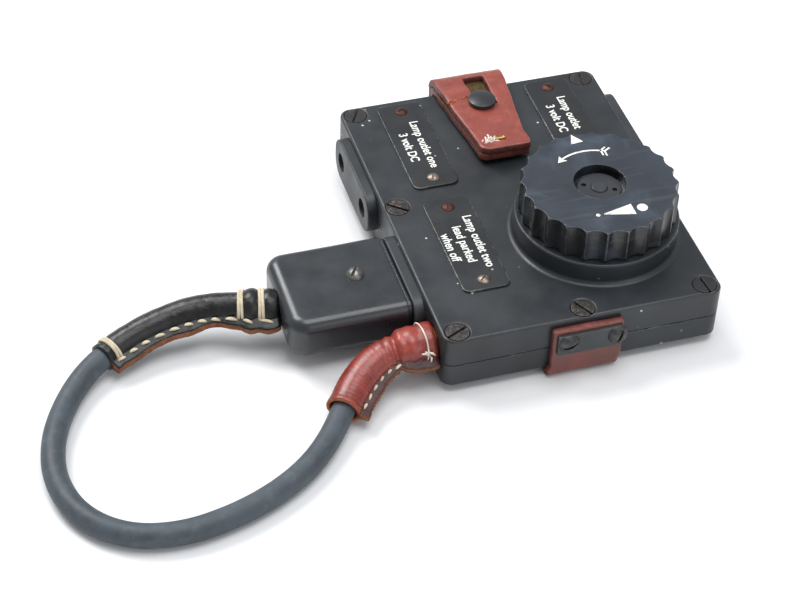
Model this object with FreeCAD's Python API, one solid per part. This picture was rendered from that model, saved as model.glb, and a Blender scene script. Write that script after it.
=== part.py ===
"""Illumination control box of an optical rangefinder.

A flat two-shell case with a large fluted dimmer knob, three two-pin sockets, a short rubber
lead whose plug is parked in the left front socket, and a leather strap that wraps the case from
front to back and buttons on a stud. Units are millimetres. X runs to the right, Y to the back,
Z up. The origin is the centre of the footprint, on the surface that the strap rests on.
"""
import FreeCAD, Part
import math
import os

V = FreeCAD.Vector
X_AXIS, Y_AXIS, Z_AXIS = V(1, 0, 0), V(0, 1, 0), V(0, 0, 1)
OUT = "parts"

# ---- driving dimensions -----------------------------------------------------------------------
CASE_W, CASE_D, CASE_H = 72.0, 93.0, 15.0   # outside of the closed case
CASE_R = 3.0                                # radius of the upright edges
WALL = 2.2
PLATE_T = 2.2                               # top plate of the upper shell
STRAP_T = 2.0                               # one layer of strap leather; the case rests on one layer
SPLIT_H = 6.8                               # height of the lower shell
GASKET_T = 0.3
CLEAR = 0.02                                # gap between pieces that are pressed or screwed together

KNOB_X, KNOB_Y = 13.1, -16.7                # axis of the knob
KNOB_R, KNOB_H = 19.8, 9.0
FLUTES = 24
BOSS_R, BOSS_H = 20.8, 6.1                  # round collar under the knob
BOSS_CAVITY_R = 18.6
SPINDLE_R = 2.5

PIN_R, PIN_PITCH = 2.0, 19.0                # two-pin connector, 4 mm pins 19 mm apart
CONTACT_BORE_R = 2.05
SOCKET_Z = 9.8
SOCKET_L, SOCKET_HT, SOCKET_T, SOCKET_R = 30.4, 12.0, 2.7, 5.0
REAR_SOCKET_Y, FRONT_SOCKET_Y = 24.0, -16.8

CABLE_R = 2.9
GLAND_Y, GLAND_Z = -37.5, 9.5
SLEEVE_BORE_R = CABLE_R + 0.08
RED_SLEEVE_R, BLACK_SLEEVE_R = 4.3, 3.8
WIDE_WALL = 0.8                             # leather round the gland's nipple
TWINE_R = 0.35

STUD_X, STUD_Y = 0.3, 34.5
STRAP_X, STRAP_W = 0.0, 18.2
STRAP_END_W = 13.2                          # the buttoned end tapers to this
FLAP_T = 2 * STRAP_T
FLAP_FRONT_Y = 15.0

LABEL_W, LABEL_L, LABEL_T = 12.3, 35.0, 0.6
LABEL_X_LEFT, LABEL_X_RIGHT = -20.1, 21.5
LABEL_Y_REAR, LABEL_Y_FRONT = 26.7, -13.7
LABEL_SCREW_INSET = 3.4

# ---- values worked out from them --------------------------------------------------------------
CASE_Z0 = STRAP_T
CASE_Z1 = CASE_Z0 + CASE_H
SPLIT_Z = CASE_Z0 + SPLIT_H
UPPER_Z0 = SPLIT_Z + GASKET_T
BOSS_Z1 = CASE_Z1 + BOSS_H
BOSS_ROOF_Z = BOSS_Z1 - 2.0
KNOB_Z0 = BOSS_Z1 + 0.4
KNOB_Z1 = KNOB_Z0 + KNOB_H
KNOB_CENTRE = V(KNOB_X, KNOB_Y, 0)
SIDE_X = CASE_W / 2
FACE_X = SIDE_X + SOCKET_T                  # outer face of a socket flange
FRONT_Y, BACK_Y = -CASE_D / 2, CASE_D / 2
SCREW_PLACES = [(sx * 32.0, sy * 43.2) for sx in (-1, 1) for sy in (-1, 1)] + [
    (0, -43.2), (0, 43.2), (-32.3, 4.3), (32.3, 4.3)]

# The lead leaves the gland to the left, drops to the table, makes one open loop and climbs into
# the plug.
CABLE_ROUTE = [
    (-34.5, GLAND_Y, GLAND_Z), (-42.6, GLAND_Y, GLAND_Z), (-50.0, -38.4, 8.3), (-56.0, -42.2, 6.4),
    (-61.2, -48.3, 4.7), (-66.6, -55.9, 3.6), (-73.6, -63.2, 3.2), (-82.6, -69.1, 3.13), (-94.0, -73.6, 3.13),
    (-107.0, -75.8, 3.13), (-119.2, -73.1, 3.13), (-128.1, -64.6, 3.13), (-131.6, -52.7, 3.13),
    (-130.0, -40.0, 3.13), (-124.6, -28.3, 3.2), (-116.9, -19.0, 4.1), (-107.0, -13.4, 5.5),
    (-96.5, -10.7, 7.1), (-87.0, -10.4, 8.4), (-78.2, -13.0, 9.3), (-69.5, -16.0, 9.5),
    (-61.0, -16.0, 9.5)]
RED_SLEEVE_RUNS = (0, 4)                    # the sleeve ends in the middle of the fifth run
BLACK_SLEEVE_RUNS = (15, 20)


# ---- small tools ------------------------------------------------------------------------------
def box(x0, x1, y0, y1, z0, z1):
    return Part.makeBox(x1 - x0, y1 - y0, z1 - z0, V(x0, y0, z0))


def cyl(r, height, base, axis=Z_AXIS):
    return Part.makeCylinder(r, height, V(*base), axis)


def ring(outer, inner, height, base, axis=Z_AXIS):
    return cyl(outer, height, base, axis).cut(cyl(inner, height, base, axis))


def rounded_plate(w, d, r, z0, z1, cx=0.0, cy=0.0):
    """An upright block with rounded upright edges."""
    solid = box(cx - w / 2, cx + w / 2, cy - d / 2, cy + d / 2, z0, z1)
    upright = [e for e in solid.Edges if abs(e.tangentAt(e.FirstParameter).z) > 0.99]
    return solid.makeFillet(r, upright)


def edges_at_z(solid, z, tol=1e-3):
    """The edges that lie flat at this height."""
    return [e for e in solid.Edges if abs(e.BoundBox.ZMin - z) < tol and abs(e.BoundBox.ZMax - z) < tol]


def sideways(solid, side):
    """A solid modelled on the left side, or its mirror image on the right side."""
    return solid if side < 0 else solid.mirror(V(0, 0, 0), X_AXIS)


def slot_cut(width, depth, radius, top, centre, axis=Z_AXIS, angle=0.0):
    """The cutter of a screwdriver slot across a head whose outer face is at top along the axis."""
    cutter = Part.makeBox(2 * radius + 2, width, depth + 1, V(-radius - 1, -width / 2, -depth))
    cutter.rotate(V(0, 0, 0), Z_AXIS, angle)
    cutter.Placement = FreeCAD.Placement(
        V(*centre) + axis * top, FreeCAD.Rotation(Z_AXIS, axis)).multiply(cutter.Placement)
    return cutter


def prism(points, z0, z1):
    """A straight block over a flat outline of (x, y) points."""
    wire = Part.makePolygon([V(x, y, z0) for x, y in points] + [V(*points[0], z0)])
    return Part.Face(wire).extrude(V(0, 0, z1 - z0))


def group(solids):
    """Separate solids in one node."""
    return Part.makeCompound(solids)


def save(name, shape):
    shape.exportStep(os.path.join(OUT, name + ".step"))
    solids = shape.Solids
    ok = all(s.isValid() and s.isClosed() and s.Volume > 0 for s in solids)
    print(f"{name:26s} solids {len(solids):2d}  volume {shape.Volume:9.1f} mm3  {'ok' if ok else 'BAD'}")


# ---- cords: straight runs joined by tangent arcs ----------------------------------------------
class Route:
    """A route of straight runs, with an arc at each corner that uses 0.45 of the shorter run."""

    def __init__(self, points):
        self.points = [V(*p) for p in points]
        self.corners = {}
        for i in range(1, len(self.points) - 1):
            a, b, c = self.points[i - 1:i + 2]
            back, on = (a - b), (c - b)
            cut = 0.45 * min(back.Length, on.Length)
            half_turn = (math.pi - back.getAngle(on)) / 2
            into = b + V(back).normalize() * cut
            out = b + V(on).normalize() * cut
            towards = (V(back).normalize() + V(on).normalize()).normalize()
            radius = cut / math.tan(half_turn)
            middle = b + towards * (radius / math.cos(half_turn) - radius)
            self.corners[i] = (into, middle, out, radius)

    def radii(self):
        return [self.corners[i][3] for i in sorted(self.corners)]

    def edges(self, first=0, last=None):
        """The line and arc edges from run first to run last.

        A stretch that stops short of the route's end is cut in the middle of its end run.
        """
        last = len(self.points) - 2 if last is None else last
        middle = lambda i: (self.points[i] + self.points[i + 1]) * 0.5
        at = self.points[0] if first == 0 else middle(first)
        made = []
        for i in range(first + 1, last + 1):
            into, arc_middle, out, _ = self.corners[i]
            made += [Part.LineSegment(at, into).toShape(), Part.Arc(into, arc_middle, out).toShape()]
            at = out
        end = self.points[-1] if last == len(self.points) - 2 else middle(last)
        return made + [Part.LineSegment(at, end).toShape()]


def tube(edges, radius):
    """A round bar along line and arc edges that run on smoothly."""
    start = edges[0].valueAt(edges[0].FirstParameter)
    along = edges[0].tangentAt(edges[0].FirstParameter)
    profile = Part.Wire([Part.makeCircle(radius, start, along)])
    solid = Part.Wire(edges).makePipeShell([profile], True, False)
    length = sum(e.Length for e in edges)
    expected = math.pi * radius ** 2 * length
    assert abs(solid.Volume / expected - 1) < 0.01, f"tube volume {solid.Volume} for {expected}"
    return solid


def place_along(edges, distance):
    """The point and direction at a distance along the edges."""
    for e in edges:
        if distance <= e.Length:
            at = e.getParameterByLength(distance)
            return e.valueAt(at), e.tangentAt(at)
        distance -= e.Length
    raise ValueError("past the end of the route")


def lead(points, radius):
    """An insulated wire inside the case."""
    return tube(Route(points).edges(), radius)


# ---- screws -----------------------------------------------------------------------------------
def countersunk_screw(x, y, top, head_r, shank_r, length, slot_angle):
    head_h = head_r - shank_r
    solid = Part.makeCone(shank_r, head_r, head_h, V(x, y, top - head_h))
    solid = solid.fuse(cyl(shank_r, length - head_h, (x, y, top - length))).removeSplitter()
    return solid.cut(slot_cut(0.8, 0.8, head_r, 0, (x, y, top), Z_AXIS, slot_angle))


def domed_screw(place, axis, head_r, head_h, shank_r, length, slot_angle, slot_w=0.7):
    """A round-head screw: place is the centre of the head's underside, axis points out of the head."""
    sphere_r = (head_r ** 2 + head_h ** 2) / (2 * head_h)
    ball = Part.makeSphere(sphere_r, V(0, 0, head_h - sphere_r))
    head = ball.common(cyl(head_r, head_h + 1, (0, 0, 0)))
    solid = head.fuse(cyl(shank_r, length, (0, 0, -length))).removeSplitter()
    solid = solid.cut(slot_cut(slot_w, head_h * 0.55, head_r, head_h, (0, 0, 0), Z_AXIS, slot_angle))
    solid.Placement = FreeCAD.Placement(V(*place), FreeCAD.Rotation(Z_AXIS, axis))
    return solid


def hex_nut(place, across, height, bore_r, axis=Z_AXIS):
    r = across / math.sqrt(3)
    outline = [(r * math.cos(math.radians(60 * i)), r * math.sin(math.radians(60 * i))) for i in range(6)]
    solid = prism(outline, 0, height).cut(cyl(bore_r, height, (0, 0, 0)))
    solid.Placement = FreeCAD.Placement(V(*place), FreeCAD.Rotation(Z_AXIS, axis))
    return solid


# ---- the case ---------------------------------------------------------------------------------
CASE_SHANK_R, CASE_HEAD_R = 1.45, 2.9
CLAMP_SCREW_X, CLAMP_SCREW_Z = (-5.3, 7.3), 12.0
CLAMP_SHANK_R = 1.2
POST_R = 3.4
WINDOW_L, WINDOW_H = 26.0, 8.4              # opening in the side wall for a socket's inner block
NIPPLE_R = 3.9


def socket_sites():
    """(name, side, y) of the three sockets."""
    return [("left_rear", -1, REAR_SOCKET_Y), ("left_front", -1, FRONT_SOCKET_Y),
            ("right_rear", 1, REAR_SOCKET_Y)]


def wall_openings():
    """What is cut from both shells and the gasket for the sockets and the gland."""
    cuts = []
    for _, side, y in socket_sites():
        window = box(-SIDE_X - 1, -SIDE_X + WALL + 1, y - WINDOW_L / 2 - CLEAR, y + WINDOW_L / 2 + CLEAR,
                     SOCKET_Z - WINDOW_H / 2 - CLEAR, SOCKET_Z + WINDOW_H / 2 + CLEAR)
        cuts.append(sideways(window, side))
    cuts.append(cyl(NIPPLE_R + CLEAR, WALL + 3, (-SIDE_X - 1, GLAND_Y, GLAND_Z), X_AXIS))
    return cuts


def screw_holes(radius, z0, z1):
    return [cyl(radius, z1 - z0, (x, y, z0)) for x, y in SCREW_PLACES]


def posts(z0, z1):
    """Screw posts that grow into the walls, kept inside the case's outline."""
    return [cyl(POST_R, z1 - z0, (x, y, z0)) for x, y in SCREW_PLACES]


def case_base():
    outer = rounded_plate(CASE_W, CASE_D, CASE_R, CASE_Z0, SPLIT_Z)
    outer = outer.makeChamfer(0.6, edges_at_z(outer, CASE_Z0))
    inner = rounded_plate(CASE_W - 2 * WALL, CASE_D - 2 * WALL, 1.2, CASE_Z0 + 2.0, SPLIT_Z)
    solid = outer.cut(inner)
    full = rounded_plate(CASE_W - 1, CASE_D - 1, CASE_R, CASE_Z0 + 1, SPLIT_Z)
    for post in posts(CASE_Z0 + 1, SPLIT_Z):
        solid = solid.fuse(post.common(full))
    return solid.cut(wall_openings() + screw_holes(1.47, CASE_Z0 + 1.5, SPLIT_Z)).removeSplitter()


def case_gasket():
    outer = rounded_plate(CASE_W - 0.8, CASE_D - 0.8, CASE_R - 0.4, SPLIT_Z, UPPER_Z0)
    inner = rounded_plate(CASE_W - 2 * WALL, CASE_D - 2 * WALL, 1.2, SPLIT_Z, UPPER_Z0)
    return group(outer.cut(inner).cut(wall_openings() + screw_holes(1.7, SPLIT_Z, UPPER_Z0)).Solids)


def case_top():
    outer = rounded_plate(CASE_W, CASE_D, CASE_R, UPPER_Z0, CASE_Z1)
    outer = outer.makeFillet(0.7, edges_at_z(outer, CASE_Z1))
    collar = cyl(BOSS_R, BOSS_H + 1, (KNOB_X, KNOB_Y, CASE_Z1 - 1))
    collar = collar.makeFillet(0.5, edges_at_z(collar, BOSS_Z1))
    solid = outer.fuse(collar).removeSplitter()
    root = [e for e in edges_at_z(solid, CASE_Z1)
            if abs(e.BoundBox.XLength - 2 * BOSS_R) < 0.1 and abs(e.BoundBox.YLength - 2 * BOSS_R) < 0.1]
    solid = solid.makeFillet(1.3, root)
    inner = rounded_plate(CASE_W - 2 * WALL, CASE_D - 2 * WALL, 1.2, UPPER_Z0, CASE_Z1 - PLATE_T)
    solid = solid.cut(inner).cut(cyl(BOSS_CAVITY_R, BOSS_ROOF_Z - UPPER_Z0, (KNOB_X, KNOB_Y, UPPER_Z0)))
    full = rounded_plate(CASE_W - 1, CASE_D - 1, CASE_R, UPPER_Z0, CASE_Z1 - 1)
    for post in posts(UPPER_Z0, CASE_Z1 - 1):
        solid = solid.fuse(post.common(full))
    pad = box(CLAMP_SCREW_X[0] - 3.5, CLAMP_SCREW_X[1] + 3.5, FRONT_Y + 1, FRONT_Y + 5, CLAMP_SCREW_Z - 2.6,
              CASE_Z1 - 1)
    solid = solid.fuse(pad)
    head_depth = CASE_HEAD_R - CASE_SHANK_R
    cuts = wall_openings() + screw_holes(1.6, UPPER_Z0 - 1, CASE_Z1)
    sink = head_depth + 0.25
    cuts += [Part.makeCone(1.6, 1.6 + sink, sink, V(x, y, CASE_Z1 - sink)) for x, y in SCREW_PLACES]
    cuts += [cyl(CLAMP_SHANK_R + CLEAR, 8, (x, FRONT_Y - 1, CLAMP_SCREW_Z), Y_AXIS) for x in CLAMP_SCREW_X]
    cuts.append(cyl(BUSH_R + CLEAR, 5, (KNOB_X, KNOB_Y, BOSS_ROOF_Z - 1)))
    cuts.append(cyl(STOP_PIN_R + CLEAR, STOP_PIN_DEPTH, (*stop_pin_place(), BOSS_Z1 - STOP_PIN_DEPTH)))
    cuts.append(cyl(STUD_SHANK_R + CLEAR, 4, (STUD_X, STUD_Y, CASE_Z1 - 3)))
    cuts += [cyl(LABEL_SHANK_R + CLEAR, PLATE_T + 1, (x, y, CASE_Z1 - PLATE_T - 0.5))
             for x, y in label_screw_places(1) + label_screw_places(-1)]
    return solid.cut(cuts).removeSplitter()


def case_screws():
    angles = (25, 62, 95, 80, 118, 10, 140, 35)
    return group([countersunk_screw(x, y, CASE_Z1 - 0.12, CASE_HEAD_R, CASE_SHANK_R, 12.5, a)
                  for (x, y), a in zip(SCREW_PLACES, angles)])


# ---- label plates -----------------------------------------------------------------------------
LABEL_SHANK_R, LABEL_HEAD_R, LABEL_HEAD_H = 0.85, 1.7, 0.7


def label_sites():
    return [("left_rear", LABEL_X_LEFT, LABEL_Y_REAR), ("left_front", LABEL_X_LEFT, LABEL_Y_FRONT),
            ("right_rear", LABEL_X_RIGHT, LABEL_Y_REAR)]


def label_screw_places(end):
    """The screws at the plates' rear ends (end 1) or front ends (end -1)."""
    return [(x, y + end * (LABEL_L / 2 - LABEL_SCREW_INSET)) for _, x, y in label_sites()]


def label_plate(x, y):
    plate = rounded_plate(LABEL_W, LABEL_L, 2.0, CASE_Z1, CASE_Z1 + LABEL_T, x, y)
    plate = plate.makeChamfer(0.15, edges_at_z(plate, CASE_Z1 + LABEL_T))
    inset = LABEL_L / 2 - LABEL_SCREW_INSET
    return plate.cut([cyl(LABEL_SHANK_R + CLEAR, 2, (x, y + s * inset, CASE_Z1 - 0.5)) for s in (-1, 1)])


def label_screws(end, angles):
    screws = []
    for (x, y), angle in zip(label_screw_places(end), angles):
        place = (x, y, CASE_Z1 + LABEL_T)
        screws.append(domed_screw(place, Z_AXIS, LABEL_HEAD_R, LABEL_HEAD_H, LABEL_SHANK_R, 2.6, angle,
                                  0.45))
    return group(screws)


# ---- sockets ----------------------------------------------------------------------------------
BLOCK_DEPTH = 12.0                          # inner block of a socket, behind the outer face of the wall
TUBE_R = 2.6
TUBE_X = (-FACE_X + 1.6, -SIDE_X + 16.0)    # the contact tube is sunk behind the face and stands out inside


def contact_places(y):
    return [y - PIN_PITCH / 2, y + PIN_PITCH / 2]


def stadium(length, height, radius, x0, x1, y):
    """A rounded flat block that stands on a side wall, from x0 to x1."""
    solid = box(x0, x1, y - length / 2, y + length / 2, SOCKET_Z - height / 2, SOCKET_Z + height / 2)
    along = [e for e in solid.Edges if abs(e.tangentAt(e.FirstParameter).x) > 0.99]
    return solid.makeFillet(radius, along)


def edges_at_x(solid, x, tol=1e-3):
    return [e for e in solid.Edges if abs(e.BoundBox.XMin - x) < tol and abs(e.BoundBox.XMax - x) < tol]


def socket_body(side, y):
    flange = stadium(SOCKET_L, SOCKET_HT, SOCKET_R, -FACE_X, -SIDE_X, y)
    flange = flange.makeFillet(0.4, edges_at_x(flange, -FACE_X))
    block = stadium(WINDOW_L, WINDOW_H, 0.8, -SIDE_X, -SIDE_X + BLOCK_DEPTH, y)
    solid = flange.fuse(block).removeSplitter()
    holes = [cyl(TUBE_R + CLEAR, 30, (-FACE_X - 1, at, SOCKET_Z), X_AXIS) for at in contact_places(y)]
    return sideways(solid.cut(holes), side)


def socket_contacts(side, y):
    """Two brass tubes, open at the outer end and closed inside."""
    tubes = []
    for at in contact_places(y):
        tube_solid = cyl(TUBE_R, TUBE_X[1] - TUBE_X[0], (TUBE_X[0], at, SOCKET_Z), X_AXIS)
        tube_solid = tube_solid.cut(cyl(CONTACT_BORE_R, 13.5, (TUBE_X[0], at, SOCKET_Z), X_AXIS))
        tubes.append(sideways(tube_solid, side))
    return group(tubes)


def contact_nuts():
    nuts = []
    for _, side, y in socket_sites():
        for at in contact_places(y):
            nut = hex_nut((-SIDE_X + BLOCK_DEPTH, at, SOCKET_Z), 7.6, 2.0, TUBE_R + CLEAR, X_AXIS)
            nuts.append(sideways(nut, side))
    return group(nuts)


# ---- gland, terminals and wiring --------------------------------------------------------------
GLAND_IN_X = -SIDE_X + WALL                 # the gland's flange sits against the inside of the wall
NIPPLE_END_X = -41.6
CORE_R, WIRE_R = 0.9, 0.7
BLOCK_X = (-28.2, -18.2)
CORE_OFFSET = 1.2
BLOCK_Z = (4.0, 11.2)


def gland_bush():
    """A nipple through the wall, with an inner flange that is cut away beside the corner post."""
    nipple = cyl(NIPPLE_R, GLAND_IN_X - NIPPLE_END_X, (NIPPLE_END_X, GLAND_Y, GLAND_Z), X_AXIS)
    flange = cyl(4.8, 1.4, (GLAND_IN_X, GLAND_Y, GLAND_Z), X_AXIS)
    flange = flange.cut(cyl(POST_R + CLEAR, 20, (*SCREW_PLACES[0], 0)))
    solid = nipple.fuse(flange).removeSplitter()
    return solid.cut(cyl(SLEEVE_BORE_R, 20, (-45, GLAND_Y, GLAND_Z), X_AXIS))


def cable_cores():
    start = CABLE_ROUTE[0][0]
    return group([cyl(CORE_R, BLOCK_X[0] - start, (start, GLAND_Y + dy, GLAND_Z), X_AXIS)
                  for dy in (-CORE_OFFSET, CORE_OFFSET)])


def terminal_places():
    return [(x, GLAND_Y + dy) for x in (BLOCK_X[0] + 2.5, BLOCK_X[1] - 2.5) for dy in (-2.6, 2.6)]


def terminal_block():
    solid = box(BLOCK_X[0], BLOCK_X[1], GLAND_Y - 5, GLAND_Y + 5, *BLOCK_Z)
    return solid.cut([cyl(1.22, 4, (x, y, BLOCK_Z[1] - 2.5)) for x, y in terminal_places()])


def terminal_screws():
    return group([domed_screw((x, y, BLOCK_Z[1]), Z_AXIS, 1.9, 1.0, 1.2, 2.4, 30 + 20 * i, 0.5)
                  for i, (x, y) in enumerate(terminal_places())])


def inner_leads():
    """Five insulated wires from the terminals to the sockets and the rheostat."""
    end, start = TUBE_X[1], BLOCK_X[1]
    low, high = contact_places(FRONT_SOCKET_Y)
    rear_low, rear_high = contact_places(REAR_SOCKET_Y)
    routes = [
        [(start, -39.6, 7), (-14.5, -39.6, 7), (-13.5, -33, 8.5), (-14.5, low, SOCKET_Z),
         (end, low, SOCKET_Z)],
        [(start, -35.4, 6), (-13, -35.4, 6), (-5, -31, 5.2), (0, -24.5, 5.4), (2.5, -20, 7.2)],
        [(end, high, SOCKET_Z), (-15, high, SOCKET_Z), (-14, 3.5, 7), (-15, rear_low, SOCKET_Z),
         (end, rear_low, SOCKET_Z)],
        [(end, rear_high, SOCKET_Z), (end + 3, rear_high, SOCKET_Z), (end + 7, rear_high, 8),
         (0, rear_high - 1, 5.5), (-end - 7, rear_high, 8), (-end - 3, rear_high, SOCKET_Z),
         (-end, rear_high, SOCKET_Z)],
        [(-end, rear_low, SOCKET_Z), (-end - 3, rear_low, SOCKET_Z), (-end - 5.5, rear_low - 2, 8),
         (14, 5, 5.6), (13.5, -6, 7.1)]]
    return group([lead(r, WIRE_R) for r in routes])


# ---- rheostat ---------------------------------------------------------------------------------
BUSH_R = 5.0
STOP_PIN_R, STOP_PIN_DEPTH, STOP_RADIUS = 1.0, 1.4, 13.5
STOP_ANGLE = -40.0                          # the fixed stop, seen from above
LUG_SWEEP = 70.0                            # the knob's stop lug; the rest of the turn is its travel
REST_GAP = 0.9                              # degrees between lug and pin at rest
BASE_Z = 8.0
WINDING_Z1 = 16.6
FORMER_R = (9.5, 13.0)
WIPER_ANGLE = 10.0                          # where the brush stands on the winding at rest
PILLAR_ANGLES = (100, 220, 340)


def on_circle(radius, degrees):
    a = math.radians(degrees)
    return KNOB_X + radius * math.cos(a), KNOB_Y + radius * math.sin(a)


def stop_pin_place():
    return on_circle(STOP_RADIUS, STOP_ANGLE)


def stop_pin():
    return cyl(STOP_PIN_R, STOP_PIN_DEPTH + 1.8, (*stop_pin_place(), BOSS_Z1 - STOP_PIN_DEPTH))


def rheostat_base():
    disc = ring(17.6, 4.0, 2.0, (KNOB_X, KNOB_Y, BASE_Z))
    return disc.cut([cyl(1.1, 3, (*on_circle(15.6, a), BASE_Z - 0.5)) for a in PILLAR_ANGLES])


def rheostat_pillars():
    pillars = []
    for a in PILLAR_ANGLES:
        x, y = on_circle(15.6, a)
        pillar = cyl(1.7, BOSS_ROOF_Z - BASE_Z - 2.0, (x, y, BASE_Z + 2.0))
        pillars.append(pillar.cut(cyl(1.02, 4, (x, y, BASE_Z + 2.0))))
    return group(pillars)


def rheostat_screws():
    return group([domed_screw((*on_circle(15.6, a), BASE_Z), Z_AXIS * -1, 1.9, 1.1, 1.0, 5.0, a, 0.5)
                  for a in PILLAR_ANGLES])


def rheostat_former():
    z0 = BASE_Z + 2.5
    return ring(FORMER_R[1], FORMER_R[0], WINDING_Z1 - 0.5 - z0, (KNOB_X, KNOB_Y, z0))


def ring_section(r0, r1, z0, z1):
    corners = [V(r0, 0, z0), V(r1, 0, z0), V(r1, 0, z1), V(r0, 0, z1), V(r0, 0, z0)]
    return Part.Face(Part.makePolygon(corners))


def rheostat_winding():
    """A wound band round the former, open over a sixth of the circle."""
    z0, z1, t = BASE_Z + 2.0, WINDING_Z1, 0.5
    outer = ring_section(FORMER_R[0] - t, FORMER_R[1] + t, z0, z1)
    inner = ring_section(FORMER_R[0] - CLEAR, FORMER_R[1] + CLEAR, z0 + t - CLEAR, z1 - t + CLEAR)
    solid = outer.cut(inner).revolve(V(0, 0, 0), Z_AXIS, 300)
    solid.translate(KNOB_CENTRE)
    return solid


def spindle_bush():
    flange = cyl(6.5, 1.0, (KNOB_X, KNOB_Y, BOSS_ROOF_Z - 1.0))
    body = cyl(BUSH_R, 4.2, (KNOB_X, KNOB_Y, BOSS_ROOF_Z))
    bore = cyl(SPINDLE_R + 0.05, 8, (KNOB_X, KNOB_Y, BOSS_ROOF_Z - 2))
    return flange.fuse(body).removeSplitter().cut(bore)


def bush_nut():
    return hex_nut((KNOB_X, KNOB_Y, BOSS_Z1), 13.0, 1.8, BUSH_R + CLEAR)


def spindle():
    top = KNOB_Z1 - 1.4
    solid = cyl(SPINDLE_R, KNOB_Z1 - 3.0 - 15.0, (KNOB_X, KNOB_Y, 15.0))
    solid = solid.fuse(cyl(2.15, top - (KNOB_Z1 - 3.0), (KNOB_X, KNOB_Y, KNOB_Z1 - 3.0))).removeSplitter()
    solid = solid.makeChamfer(0.3, edges_at_z(solid, top))
    return solid.cut(ring(3, 2.1, 0.6, (KNOB_X, KNOB_Y, 16.2)))


def circlip():
    clip = ring(4.0, 2.1 + CLEAR, 0.5, (KNOB_X, KNOB_Y, 16.25))
    return clip.cut(box(KNOB_X - 1.2, KNOB_X + 1.2, KNOB_Y - 6, KNOB_Y, 16, 17))


def wiper_hub():
    return ring(5.0, SPINDLE_R + CLEAR, 1.3, (KNOB_X, KNOB_Y, 17.0))


def wiper_arm():
    arm = cyl(5.0, 0.6, (KNOB_X, KNOB_Y, 18.3)).fuse(
        box(KNOB_X, KNOB_X + 13.2, KNOB_Y - 2, KNOB_Y + 2, 18.3, 18.9)).removeSplitter()
    arm = arm.cut([cyl(SPINDLE_R + CLEAR, 2, (KNOB_X, KNOB_Y, 18))])
    return arm.rotate(KNOB_CENTRE, Z_AXIS, WIPER_ANGLE)


def wiper_brush():
    brush = cyl(1.5, 18.3 - WINDING_Z1 - 0.05, (KNOB_X + 11.25, KNOB_Y, WINDING_Z1 + 0.05))
    return brush.rotate(KNOB_CENTRE, Z_AXIS, WIPER_ANGLE)


def wiper_collar():
    return ring(4.5, SPINDLE_R + CLEAR, 1.1, (KNOB_X, KNOB_Y, 18.9))


# ---- the knob ---------------------------------------------------------------------------------
FLUTE_R, FLUTE_DEPTH = 3.6, 1.1
NUT_RECESS_R, NUT_RECESS_D = 6.6, 3.0


def knob():
    body = cyl(KNOB_R, KNOB_H, (KNOB_X, KNOB_Y, KNOB_Z0))
    body = body.makeChamfer(0.35, edges_at_z(body, KNOB_Z1) + edges_at_z(body, KNOB_Z0))
    flute_at = KNOB_R - FLUTE_DEPTH + FLUTE_R
    flutes = []
    for i in range(FLUTES):
        x, y = on_circle(flute_at, (i + 0.5) * 360 / FLUTES)
        flutes.append(cyl(FLUTE_R, KNOB_H + 2, (x, y, KNOB_Z0 - 1)))
    body = body.cut(flutes)
    cavity = ring(16.2, 6.0, 4.2, (KNOB_X, KNOB_Y, KNOB_Z0))
    hub_relief = cyl(7.9, 2.3, (KNOB_X, KNOB_Y, KNOB_Z0))
    body = body.cut([cavity, hub_relief, cyl(SPINDLE_R + CLEAR, 20, (KNOB_X, KNOB_Y, KNOB_Z0 - 2)),
                     cyl(NUT_RECESS_R, NUT_RECESS_D + 1, (KNOB_X, KNOB_Y, KNOB_Z1 - NUT_RECESS_D))])
    return body.fuse(stop_lug()).removeSplitter()


def stop_lug():
    """A sector moulded in the knob's cavity that meets the stop pin at both ends of the travel."""
    half_pin = math.degrees(math.asin(STOP_PIN_R / STOP_RADIUS))
    start = STOP_ANGLE + half_pin + REST_GAP
    sector = Part.makeCylinder(16.3, 4.0, V(0, 0, 0), Z_AXIS, LUG_SWEEP)
    sector = sector.cut(cyl(11.0, 5, (0, 0, -0.1)))
    sector.rotate(V(0, 0, 0), Z_AXIS, start)
    sector.translate(V(KNOB_X, KNOB_Y, KNOB_Z0 + 0.3))
    return sector


def knob_nut():
    z0 = KNOB_Z1 - NUT_RECESS_D
    solid = ring(5.6, 2.15 + CLEAR, 1.2, (KNOB_X, KNOB_Y, z0))
    solid = solid.makeChamfer(0.2, [e for e in edges_at_z(solid, z0 + 1.2) if e.BoundBox.XLength > 10])
    holes = [cyl(0.65, 0.9, (*on_circle(3.9, a), z0 + 0.5)) for a in (-28, 152)]
    return solid.cut(holes)


# ---- strap ------------------------------------------------------------------------------------
STUD_SHANK_R, STUD_NECK_R, STUD_HEAD_R = 1.45, 1.7, 3.6
BACK_GAP = 0.5
FLAP_Z0 = CASE_Z1 + 0.3
STRAP_TOP_Z = 15.4                          # top edge of the front tab
CLAMP_T = 1.0


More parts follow.
